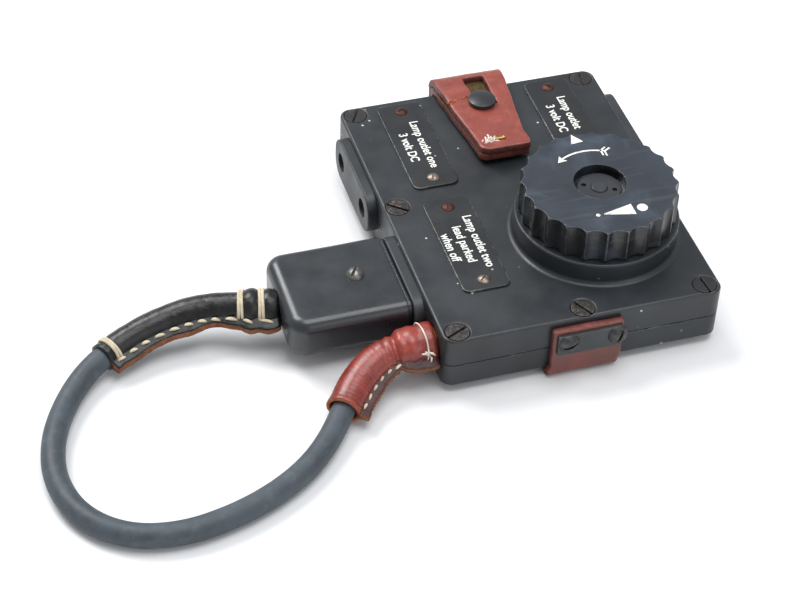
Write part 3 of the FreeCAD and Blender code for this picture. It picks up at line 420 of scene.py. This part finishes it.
# ---- the CAD nodes' finishes -------------------------------------------------------------------
FINISHES = {
    "case": ["case_top", "case_base", "case_gasket"],
    "knob": ["knob"],
    "nut": ["knob_nut", "spindle"],
    "plug": ["plug_hood", "plug_insert"],
    "socket": ["socket_left_rear", "socket_left_front", "socket_right_rear", "terminal_block",
               "rheostat_base", "rheostat_former"],
    "label": ["label_plate_left_rear", "label_plate_left_front", "label_plate_right_rear"],
    "black_metal": ["strap_stud"],
    "clamp": ["strap_clamp_plate"],
    "painted_screw": ["case_screws"],
    "steel": ["label_screws_front", "terminal_screws", "rheostat_screws",
              "rheostat_pillars", "bush_nut", "circlip", "stop_pin", "stud_nut"],
    "dark_steel": ["strap_clamp_screws"],
    "plug_screw": ["plug_screw"],
    "sealed": ["label_screws_rear"],
    "brass": ["contacts_left_rear", "contacts_left_front", "contacts_right_rear", "contact_nuts",
              "plug_pins", "gland_bush", "spindle_bush", "wiper_hub", "wiper_arm", "wiper_brush",
              "wiper_collar", "rheostat_winding"],
    "rubber": ["cable_cores", "plug_cores", "inner_leads"],
}
for finish, names in FINISHES.items():
    for node_name in names:
        node_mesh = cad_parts[node_name].data
        node_mesh.materials.clear()
        node_mesh.materials.append(M[finish])


# ---- the lead ----------------------------------------------------------------------------------
route = smooth_path([Vector(p) * MM for p in CABLE_ROUTE])


def distance_of(x, y):
    """How far along the route it passes nearest to this place, seen from above, in millimetres."""
    total = lengths_along(route)
    spot = Vector((x, y)) * MM
    nearest = min(range(len(route)), key=lambda i: (route[i].xy - spot).length)
    return total[nearest]


def route_part(start, end):
    """The route's own points between two distances."""
    return [p for p, d in zip(route, lengths_along(route)) if start <= d <= end]


def bumps(p, scale, seed=0.0):
    return noise.noise(Vector(p) * scale + Vector((seed, seed * 1.7, seed * 2.3)))


lead = tube("lead", route, lambda s, a: CABLE_R * (1 + 0.006 * math.sin(5 * a + 20 * s)), M["rubber"])
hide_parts("cable")
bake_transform(lead)


# ---- leather sleeves ---------------------------------------------------------------------------
SEGMENTS = 48


def sleeve(name, line, radius, wall, hide, cut_edge):
    """A leather tube with visible wall thickness at both ends."""
    rings = frames_along(line)
    last = len(rings) - 1
    inset = min(6, last // 3)
    rows = [(inset - k, -wall) for k in range(inset + 1)] + [(k, 0.0) for k in range(last + 1)]
    rows += [(last - k, -wall) for k in range(inset + 1)]
    verts, faces, edge_faces = [], [], []
    for i, offset in rows:
        p, side, up = rings[i]
        for j in range(SEGMENTS):
            a = 2 * math.pi * j / SEGMENTS
            r = radius(i / last, a, p) + offset
            verts.append(p + side * (r * math.cos(a)) + up * (r * math.sin(a)))
    for i in range(len(rows) - 1):
        if i in (inset, inset + last + 1):
            edge_faces += list(range(len(faces), len(faces) + SEGMENTS))
        for j in range(SEGMENTS):
            k = (j + 1) % SEGMENTS
            faces.append((i * SEGMENTS + j, i * SEGMENTS + k, (i + 1) * SEGMENTS + k,
                          (i + 1) * SEGMENTS + j))
    piece = mesh_piece(name, verts, faces, [hide, cut_edge])
    for f in edge_faces:
        piece.data.polygons[f].material_index = 1
    return piece


def seam_fin(name, line, radius, angle, height, thickness, hide, cut_edge):
    """The two edges of the hide, laid face to face and cut off, standing out along the sleeve."""
    rings = frames_along(line)
    last = len(rings) - 1
    verts, faces = [], []
    for i, (p, side, up) in enumerate(rings):
        s = i / last
        a = angle(s)
        out = side * math.cos(a) + up * math.sin(a)
        across = up * math.cos(a) - side * math.sin(a)
        r = radius(s, a, p)
        h = height(s, p)
        half = thickness / 2
        for distance, offset in ((r - 0.8 * MM, -half * 1.3), (r + h * 0.75, -half), (r + h, -half * 0.82),
                                 (r + h, 0.0), (r + h, half * 0.82), (r + h * 0.75, half),
                                 (r - 0.8 * MM, half * 1.3)):
            ragged = 0.12 * MM * bumps(p, 900, offset * 3000)
            verts.append(p + out * (distance + ragged) + across * offset)
    n = 7
    indices = []
    for i in range(last):
        for j in range(n - 1):
            faces.append((i * n + j, i * n + j + 1, (i + 1) * n + j + 1, (i + 1) * n + j))
            indices.append(1 if j in (2, 3) else 0)
    for start in (0, last * n):
        faces.append(tuple(start + j for j in range(n)))
        indices.append(1)
    piece = mesh_piece(name, verts, faces, [hide, cut_edge])
    bm = bmesh.new()
    bm.from_mesh(piece.data)
    bmesh.ops.recalc_face_normals(bm, faces=bm.faces)
    bm.to_mesh(piece.data)
    bm.free()
    for polygon, index in zip(piece.data.polygons, indices):
        polygon.material_index = index
    return piece


def capsules(name, stitches, thickness, material):
    """Plump stitches; each is (start, end, outward direction)."""
    verts, faces = [], []
    for start, end, out in stitches:
        along = (end - start).normalized()
        across = along.cross(out).normalized()
        base = len(verts)
        steps = 6
        for i in range(steps + 1):
            t = i / steps
            swell = max(0.12, math.sin(math.pi * t) ** 0.5)
            centre = start.lerp(end, t) + out * (thickness * 0.5 * (swell - 0.4))
            for j in range(8):
                a = 2 * math.pi * j / 8
                verts.append(centre + across * (thickness * 0.5 * swell * math.cos(a))
                             + out * (thickness * 0.38 * swell * math.sin(a)))
        for i in range(steps):
            for j in range(8):
                k = (j + 1) % 8
                near, far = base + i * 8, base + (i + 1) * 8
                faces.append((near + j, near + k, far + k, far + j))
        faces.append(tuple(base + j for j in reversed(range(8))))
        faces.append(tuple(base + steps * 8 + j for j in range(8)))
    return mesh_piece(name, verts, faces, material)


def fin_stitches(line, radius, angle, face, offset, half, period, share, slant=0.0):
    """Stitches along a fin's face, offset out from the sleeve; face is which side of the fin."""
    rings = frames_along(line)
    total = lengths_along(line)
    stitches = []
    d = 0.35 * period
    while d + share * period < total[-1]:
        ends = []
        for e in (d, d + share * period):
            i = min(range(len(total)), key=lambda q: abs(total[q] - e))
            p, side, up = rings[i]
            s = i / (len(rings) - 1)
            a = angle(s)
            out = side * math.cos(a) + up * math.sin(a)
            across = (up * math.cos(a) - side * math.sin(a)) * face
            lean = slant if e > d else -slant
            ends.append(p + out * (radius(s, a, p) + offset + lean) + across * half)
            normal = across
        stitches.append((ends[0], ends[1], normal))
        d += period
    return stitches


def winding(name, centre, along, side, up, radius, turns, strand, material, wobble=0.0):
    """A cord wound round a sleeve: turns side by side, with a round strand."""
    verts, faces = [], []
    steps = 40
    for turn in range(turns):
        middle = centre + along * ((turn - (turns - 1) / 2) * strand * 1.9)
        base = len(verts)
        for i in range(steps):
            a = 2 * math.pi * i / steps
            out = side * math.cos(a) + up * math.sin(a)
            drift = along * (wobble * math.sin(a * 2 + turn))
            r = radius(a) + strand * 0.7
            for j in range(8):
                b = 2 * math.pi * j / 8
                verts.append(middle + drift + out * (r + strand * math.cos(b))
                             + along * (strand * math.sin(b)))
        for i in range(steps):
            for j in range(8):
                k, m = (j + 1) % 8, (i + 1) % steps
                faces.append((base + i * 8 + j, base + i * 8 + k, base + m * 8 + k, base + m * 8 + j))
    return mesh_piece(name, verts, faces, material)


def smoothstep(low, high, x):
    t = min(1.0, max(0.0, (x - low) / (high - low)))
    return t * t * (3 - 2 * t)


def hump(centre, width, x):
    return math.exp(-((x - centre) / width) ** 2)


# The red-brown sleeve: wide over the gland, pinched behind it, pleated on the inner side.
red_line = route_part(distance_of(-36.2, GLAND_Y), distance_of(-62.0, -49.6))


def red_radius(s, a, p):
    inner = max(0.0, -math.cos(a))
    r = 4.28 + 0.85 * (1 - smoothstep(0.13, 0.24, s))
    r -= 0.35 * hump(0.255, 0.045, s) + 0.3 * hump(0.075, 0.02, s)
    pleats = math.sin(s * 150 + 2.5 * bumps(p, 260, 3)) * 0.16 * (0.35 + inner) * smoothstep(0.26, 0.36, s)
    folds = 0.32 * math.sin(s * 74 + 1.5 * math.cos(a)) * hump(0.24, 0.1, s)
    return (r + pleats + folds + 0.22 * bumps(p, 170, 1) + 0.12 * smoothstep(0.93, 1.0, s)) * MM


def red_angle(s):
    return math.radians(196 - 10 * s)


def red_fin_height(s, p):
    return (1.5 + 0.7 * smoothstep(0.3, 0.8, s) + 0.9 * hump(0.1, 0.09, s) + 0.35 * bumps(p, 300, 5)) * MM


red_sleeve = sleeve("red_sleeve_leather", red_line, red_radius, 0.9 * MM, M["red_sleeve"], M["orange_edge"])
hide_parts("red_sleeve")
red_fin = seam_fin("red_sleeve_seam", red_line, red_radius, red_angle, red_fin_height, 1.9 * MM,
                   M["dark_hide"], M["brown_edge"])
STITCHES_FROM = 0.2                         # share of the sleeve's line where the seam's stitches begin
STITCH_RADIUS_FROM = 0.25                   # share of the sleeve whose radius the first stitch takes
stitched_line = red_line[int(STITCHES_FROM * len(red_line)):]


def red_stitched_radius(s, a, p):
    return red_radius(STITCH_RADIUS_FROM + (1 - STITCH_RADIUS_FROM) * s, a, p)


red_stitches = capsules("red_sleeve_stitches",
                        fin_stitches(stitched_line, red_stitched_radius, red_angle, -1, 0.35 * MM,
                                     1.12 * MM, 3.4 * MM, 0.68, 0.15 * MM), 0.75 * MM, M["thread"])


def ring_at(line, distance):
    """Frame of the place at a distance along the line: (point, along, side, up, share)."""
    total = lengths_along(line)
    i = min(range(1, len(total) - 1), key=lambda q: abs(total[q] - distance))
    p, side, up = frames_along(line)[i]
    return p, (line[i + 1] - line[i - 1]).normalized(), side, up, i / (len(line) - 1)


def wind_on(name, line, distance, radius, turns, strand, wobble, material=M["thread"]):
    p, along, side, up, s = ring_at(line, distance)
    return winding(name, p, along, side, up, lambda a: radius(s, a, p), turns, strand, material, wobble)


red_string = wind_on("red_sleeve_string", red_line, 2.6 * MM, red_radius, 1, 0.21 * MM, 0.25 * MM,
                     M["string"])
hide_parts("red_sleeve_binding")


def thread_ends(name, starts, strand, material):
    """Short loose ends: each is a list of points."""
    pieces = []
    for points in starts:
        verts, faces = [], []
        for i, p in enumerate(points):
            taper = strand * (1 if i < len(points) - 1 else 0.5)
            for j in range(6):
                a = 2 * math.pi * j / 6
                across, up = taper * math.cos(a), taper * math.sin(a)
                verts.append(p + Vector((across, 0.6 * up, up)))
        for i in range(len(points) - 1):
            for j in range(6):
                k = (j + 1) % 6
                faces.append((i * 6 + j, i * 6 + k, (i + 1) * 6 + k, (i + 1) * 6 + j))
        faces.append(tuple(reversed(range(6))))
        faces.append(tuple((len(points) - 1) * 6 + j for j in range(6)))
        pieces.append((verts, faces))
    verts, faces = [], []
    for v, f in pieces:
        faces += [tuple(i + len(verts) for i in face) for face in f]
        verts += v
    return mesh_piece(name, verts, faces, material)


knot_at = Vector((-38.9, -42.6, 11.0)) * MM
knot = thread_ends("red_sleeve_knot", [
    [knot_at + Vector(d) * MM for d in path] for path in (
        [(-0.5, 0.3, 0.2), (0.1, -0.3, 0.1), (0.5, 0.0, -0.3)],
        [(0.4, 0.2, 0.4), (-0.1, -0.4, 0.0), (-0.4, -0.1, -0.4)],
        [(-0.3, -0.2, 0.1), (-1.0, -0.5, 0.5), (-1.7, -0.5, 0.6)],
        [(0.2, -0.2, 0.0), (0.7, -0.8, -1.0), (0.6, -0.9, -2.4), (0.1, -0.7, -3.6)],
        [(0.2, -0.1, 0.2), (1.0, -0.6, 0.3), (1.6, -0.9, -0.2)])], 0.25 * MM, M["string"])
for piece in (red_sleeve, red_fin, red_stitches, red_string, knot):
    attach(piece, "case")

# The black sleeve: glossy, three whippings, two bulges next to the plug.
black_line = route_part(distance_of(-113.6, -16.9), distance_of(-69.2, -16.0))
black_length = lengths_along(black_line)[-1]
WHIPPINGS = [(2.6 * MM, 2), (black_length - 8.9 * MM, 2), (black_length - 4.1 * MM, 2)]


def black_radius(s, a, p):
    d = s * black_length
    r = 3.62 + 0.28 * math.sin(math.pi * s) - 0.1 * (1 - smoothstep(0.0, 0.06, s))
    near_plug = smoothstep(black_length - 11 * MM, black_length - 7.6 * MM, d)
    bulges = 0.55 * hump(black_length - 6.3 * MM, 1.5 * MM, d)
    bulges += 0.5 * hump(black_length - 1.9 * MM, 1.4 * MM, d)
    r += near_plug * (0.6 + bulges) * smoothstep(black_length + 0.8 * MM, black_length - 0.6 * MM, d)
    for place, _ in WHIPPINGS:
        r -= 0.28 * hump(place, 0.8 * MM, d)
    wrinkles = 0.1 * bumps(p, 420, 7) + 0.16 * bumps(p, 150, 9)
    return (r + wrinkles) * MM


def black_angle(s):
    return math.radians(-10 + 4 * math.sin(5 * s))


def black_fin_height(s, p):
    wave = 0.75 * hump(0.93, 0.06, s) - 0.5 * hump(0.62, 0.1, s) + 0.15 * math.sin(17 * s)
    return (2.15 + wave + 0.35 * bumps(p, 200, 11)) * MM


black_sleeve = sleeve("black_sleeve_leather", black_line, black_radius, 0.55 * MM, M["black_leather"],
                      M["black_leather"])
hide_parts("black_sleeve")
black_fin = seam_fin("black_sleeve_seam", black_line, black_radius, black_angle, black_fin_height, 2.2 * MM,
                     M["black_leather"], M["brown_edge"])
black_stitches = capsules("black_sleeve_stitches",
                          fin_stitches(black_line, black_radius, black_angle, 1, 0.55 * MM, 1.25 * MM,
                                       4.05 * MM, 0.7, 0.22 * MM), 0.95 * MM, M["thread"])
whippings = [wind_on(f"black_sleeve_whipping_{i + 1}", black_line, place, black_radius, turns, 0.42 * MM,
                     0.12 * MM)
             for i, (place, turns) in enumerate(WHIPPINGS)]
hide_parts("black_sleeve_bindings")
for piece in [black_sleeve, black_fin, black_stitches, *whippings]:
    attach(piece, "plug")


# ---- the strap ---------------------------------------------------------------------------------
# All in millimetres.
LAYER = 2.0                                 # thickness of one layer of the strap
STRAP_LEFT, STRAP_RIGHT = BAND_LOW.x / MM, BAND_HIGH.x / MM
SLOT_X = (-1.2, 4.3)                        # the buttonhole
SLOT_Y = (33.6, 46.4)
OVER_CASE = 16.9                            # strap points higher than this lie over the case's top


def rounded_run(corners, step):
    """Points every step along straight runs in (y, z), each corner (y, z, radius) rounded."""
    path = []
    for i, (y, z, radius) in enumerate(corners):
        here = Vector((y, z))
        if radius == 0:
            path.append(here)
            continue
        before, after = Vector(corners[i - 1][:2]), Vector(corners[i + 1][:2])
        into, out = (before - here).normalized(), (after - here).normalized()
        for k in range(7):
            t = k / 6
            a, b = here + into * radius, here + out * radius
            path.append(a * (1 - t) ** 2 + here * 2 * t * (1 - t) + b * t * t)
    made = [path[0]]
    for a, b in zip(path, path[1:]):
        count = max(1, round((b - a).length / step))
        made += [a.lerp(b, (k + 1) / count) for k in range(count)]
    return made


def edges_of_strap(y, z, on_top):
    """Left and right edges of the strap, in millimetres: it tapers towards its buttoned end."""
    if not on_top:
        lean = -1.0 * smoothstep(30, -30, y) if z < 3 else 0.0
        return STRAP_LEFT + lean * 0.6, STRAP_RIGHT + lean * 0.6
    t = smoothstep(-0.1, 1.1, (y - 15.0) / 32.0)
    left, right = -6.3 - 3.0 * t, 6.6 + 3.6 * t
    corner = max(0.0, 1.0 - (y - 14.0) / 2.0)
    flare = 0.6 * smoothstep(21, 15, y)
    return left + 2.0 * corner ** 1.5, right + flare - 0.6 * corner ** 2


def strap_layer(name, path, material, rim, with_slot, shift=0.0):
    """One layer of leather along a path in (y, z), as a closed slab with soft edges."""
    columns = 15
    verts, faces = [], []
    for i, point in enumerate(path):
        on_top = point.y > OVER_CASE and point.x > 10
        left, right = edges_of_strap(point.x, point.y, on_top)
        xs = ([left + shift + (SLOT_X[0] - left - shift) * k / 5 for k in range(5)]
              + [SLOT_X[0] + (SLOT_X[1] - SLOT_X[0]) * k / 4 for k in range(4)]
              + [SLOT_X[1] + (right + shift - SLOT_X[1]) * k / 5 for k in range(6)])
        for x in xs:
            p = Vector((x, point.x, point.y))
            if on_top:
                crack_y = 36.9 + (x + 3.3) * 0.2
                lift = smoothstep(crack_y - 0.3, crack_y + 0.4, p.y) * smoothstep(45, 38, p.y)
                p.z += 0.5 * lift * smoothstep(0.0, -2.0, x) * (1.0 if with_slot else 0.0)
            p += Vector((0.12 * bumps(p, 0.35, 1), 0.08 * bumps(p, 0.3, 2), 0.14 * bumps(p, 0.22, 3)))
            verts.append(p * MM)
    for i in range(len(path) - 1):
        for j in range(columns - 1):
            middle_y = (path[i].x + path[i + 1].x) / 2
            hole = with_slot and 5 <= j < 9 and SLOT_Y[0] < middle_y < SLOT_Y[1] and path[i].y > OVER_CASE
            if not hole:
                faces.append((i * columns + j, i * columns + j + 1, (i + 1) * columns + j + 1,
                              (i + 1) * columns + j))
    piece = mesh_piece(name, verts, faces, [material, rim])
    solid = piece.modifiers.new("thickness", "SOLIDIFY")
    solid.thickness, solid.offset = LAYER * MM, 0.0
    solid.use_even_offset = True
    solid.material_offset_rim = 1
    soft = piece.modifiers.new("soft_edge", "BEVEL")
    soft.width, soft.segments = 0.38 * MM, 2
    soft.limit_method, soft.angle_limit = "ANGLE", math.radians(55)
    apply_modifiers(piece)
    return piece


def apply_modifiers(piece):
    bpy.context.view_layer.update()
    evaluated = piece.evaluated_get(bpy.context.evaluated_depsgraph_get())
    mesh = bpy.data.meshes.new_from_object(evaluated)
    piece.modifiers.clear()
    old = piece.data
    piece.data = mesh
    bpy.data.meshes.remove(old)
    mesh.shade_smooth()


M["strap_rim"] = leather("strap_cut_edge", srgb(112, 52, 46), srgb(74, 32, 30), srgb(168, 104, 80), 0.5, 0.1,
                         crease_scale=400)
outer_path = rounded_run([(14.1, 21.4, 0), (24, 20.7, 3), (36, 20.3, 5), (49.9, 20.1, 4.4), (50.0, 1.0, 1.8),
                          (-47.5, 1.0, 1.8), (-47.5, 15.3, 0)], 0.8)
inner_path = rounded_run([(14.2, 19.45, 0), (24, 18.75, 3), (36, 18.33, 5), (48.0, 18.2, 2.6),
                          (48.0, 2.2, 0)], 0.8)
strap_outer = strap_layer("strap_outer", outer_path, M["red_leather"], M["strap_rim"], True)
strap_inner = strap_layer("strap_lining", inner_path, M["olive"], M["strap_rim"], False, -0.15)
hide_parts("strap_band")
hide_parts("strap_flap")
for piece in (strap_outer, strap_inner):
    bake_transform(piece)

crack_edge = thread_ends("strap_crack_edge", [
    [Vector((-8.8 + 0.8 * i, 36.0 + 0.15 * i + 0.25 * math.sin(2.1 * i),
             21.3 + 0.42 * smoothstep(0.0, -2.0, -8.8 + 0.8 * i))) * MM for i in range(11)]], 0.34 * MM,
    M["orange_edge"])
TOP_OF_END = 22.1                           # height of the buttoned end's upper face, in millimetres
REMAINS_AT = Vector((-3.0, 18.0, TOP_OF_END - 0.1))
frayed = []
for i in range(22):
    turn, reach = 2.4 * i, 0.35 + 0.075 * i
    middle = REMAINS_AT + Vector((1.25 * reach * math.cos(turn), 0.8 * reach * math.sin(turn), 0.12))
    run = Vector((math.cos(1.9 * i), math.sin(1.9 * i), 0)) * (0.5 + 0.25 * math.sin(5 * i))
    frayed.append([(middle - run) * MM, (middle + Vector((0, 0, 0.2))) * MM, (middle + run) * MM])
remains = thread_ends("strap_thread_remains", frayed, 0.24 * MM, M["string"])
rivet = tube("strap_old_rivet", [Vector((-1.6 + 0.27 * i, 17.9, TOP_OF_END + 0.05)) * MM for i in range(10)],
             lambda s, a: (0.62 + 0.25 * smoothstep(0.85, 0.95, s)) * MM, M["brass"], 14)
for piece in (crack_edge, remains, rivet):
    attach(piece, "strap_flap")


# ---- white marks -------------------------------------------------------------------------------
def flat_shape(name, outlines, z, body, thickness=0.04):
    """Thin filled shapes just proud of a face; each outline is a list of (x, y) in millimetres."""
    bm = bmesh.new()
    for outline in outlines:
        face = bm.faces.new([bm.verts.new((x * MM, y * MM, z + 0.01 * MM)) for x, y in outline])
        grown = bmesh.ops.extrude_face_region(bm, geom=[face])["geom"]
        for v in grown:
            if isinstance(v, bmesh.types.BMVert):
                v.co.z += thickness * MM
    bmesh.ops.recalc_face_normals(bm, faces=bm.faces)
    mesh = bpy.data.meshes.new(name)
    bm.to_mesh(mesh)
    bm.free()
    mesh.materials.append(M["white"])
    piece = bpy.data.objects.new(name, mesh)
    scene.collection.objects.link(piece)
    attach(piece, body)
    return piece


def polar(radius, degrees):
    a = math.radians(degrees)
    return (KNOB_CENTRE.x / MM + radius * math.cos(a), KNOB_CENTRE.y / MM + radius * math.sin(a))


def arc_band(inner, outer, start, end, steps=24):
    """Four-sided pieces of a curved band."""
    quads = []
    for i in range(steps):
        a, b = (start + (end - start) * k / steps for k in (i, i + 1))
        quads.append([polar(inner, a), polar(outer, a), polar(outer, b), polar(inner, b)])
    return quads


flat_shape("knob_index", [[polar(19.2, 91.5), polar(16.0, 84.5), polar(15.7, 96.5)]], KNOB_HIGH.z, "knob")
arrow = arc_band(11.95, 12.45, 64, 119)
arrow.append([polar(12.1, 128.5), polar(10.9, 117.5), polar(12.2, 119.5), polar(13.5, 118.5)])
for tail in (60, 65):
    tip, notch = polar(12.2, tail + 4.5), polar(12.2, tail + 2.2)
    arrow.append([tip, polar(13.9, tail), polar(13.7, tail - 2.0), notch])
    arrow.append([notch, polar(10.6, tail - 2.0), polar(10.4, tail), tip])
flat_shape("knob_turn_arrow", arrow, KNOB_HIGH.z, "knob")


def disc(cx, cy, radius, count=20):
    return [(cx + radius * math.cos(2 * math.pi * i / count), cy + radius * math.sin(2 * math.pi * i / count))
            for i in range(count)]


wedge = [[(9.6, -28.75), (17.3, -30.6), (17.3, -26.7), (9.6, -28.45)], disc(8.1, -28.6, 0.55),
         disc(19.6, -28.65, 1.35)]
flat_shape("knob_brightness_wedge", wedge, KNOB_HIGH.z, "knob")


LETTER_SIZE = 3.35                          # millimetres
LETTER_SQUEEZE = 0.86
LETTER_WEIGHT = 0.062                       # how far each letter's outline is grown, in millimetres


def lettering(name, words, x, y, top):
    """A line of raised letters that reads towards the front, with its top to the right."""
    data = bpy.data.curves.new(name, "FONT")
    data.body = words
    data.size = LETTER_SIZE * MM
    data.extrude = 0.02 * MM
    data.offset = LETTER_WEIGHT * MM
    data.space_character = 1.02
    data.align_x, data.align_y = "CENTER", "CENTER"
    data.materials.append(M["white"])
    piece = bpy.data.objects.new(name, data)
    piece.rotation_euler = (0, 0, -math.pi / 2)
    piece.scale = (LETTER_SQUEEZE, 1, 1)
    piece.location = (x * MM, y * MM, top + 0.02 * MM)
    scene.collection.objects.link(piece)
    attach(piece, "case")
    return piece


LABEL_TEXT = {
    "label_plate_left_rear": [(-18.4, 26.2, "Lamp outlet one"), (-22.6, 25.8, "3 volt DC")],
    "label_plate_left_front": [(-16.9, -13.9, "Lamp outlet two"), (-20.7, -14.2, "lead parked"),
                               (-24.4, -14.6, "when off")],
    "label_plate_right_rear": [(23.3, 29.0, "Lamp outlet"), (19.2, 27.4, "3 volt DC")],
}
for plate, lines in LABEL_TEXT.items():
    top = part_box(plate)[1].z
    for i, (x, y, words) in enumerate(lines):
        lettering(f"{plate}_line_{i + 1}", words, x, y, top)


# ---- table, light ------------------------------------------------------------------------------
def paper():
    n = Nodes("paper")
    cloud = n.noise(3, 3)
    n.set(Base_Color=n.mix(n.ramp(cloud, 0.3, 0.7), (0.79, 0.795, 0.805), (0.82, 0.825, 0.83)), Roughness=0.9,
          Specular_IOR_Level=0.1)
    return n.material


floor = mesh_piece("table", [(-3, -3, 0), (3, -3, 0), (3, 5, 0), (-3, 5, 0)], [(0, 1, 2, 3)], paper(), False)


def area_light(name, place, target, size, power, color=(1, 1, 1)):
    data = bpy.data.lights.new(name, "AREA")
    data.shape, data.size, data.energy, data.color = "DISK", size, power, color
    light = bpy.data.objects.new(name, data)
    light.location = place
    light.rotation_euler = (Vector(target) - Vector(place)).to_track_quat("-Z", "Y").to_euler()
    scene.collection.objects.link(light)


area_light("window", (-0.45, 0.75, 1.05), (-0.03, 0, 0), 0.8, 16)
area_light("top", (0.15, -0.1, 1.3), (0, 0, 0), 0.9, 9.5)
area_light("front_fill", (0.5, -1.0, 0.55), (0, 0, 0), 0.9, 2.6)
world = bpy.data.worlds.new("studio")
scene.world = world
world.use_nodes = True
world.node_tree.nodes["Background"].inputs[0].default_value = (0.93, 0.96, 1.0, 1)
world.node_tree.nodes["Background"].inputs[1].default_value = 0.54
scene.view_settings.view_transform = "Standard"
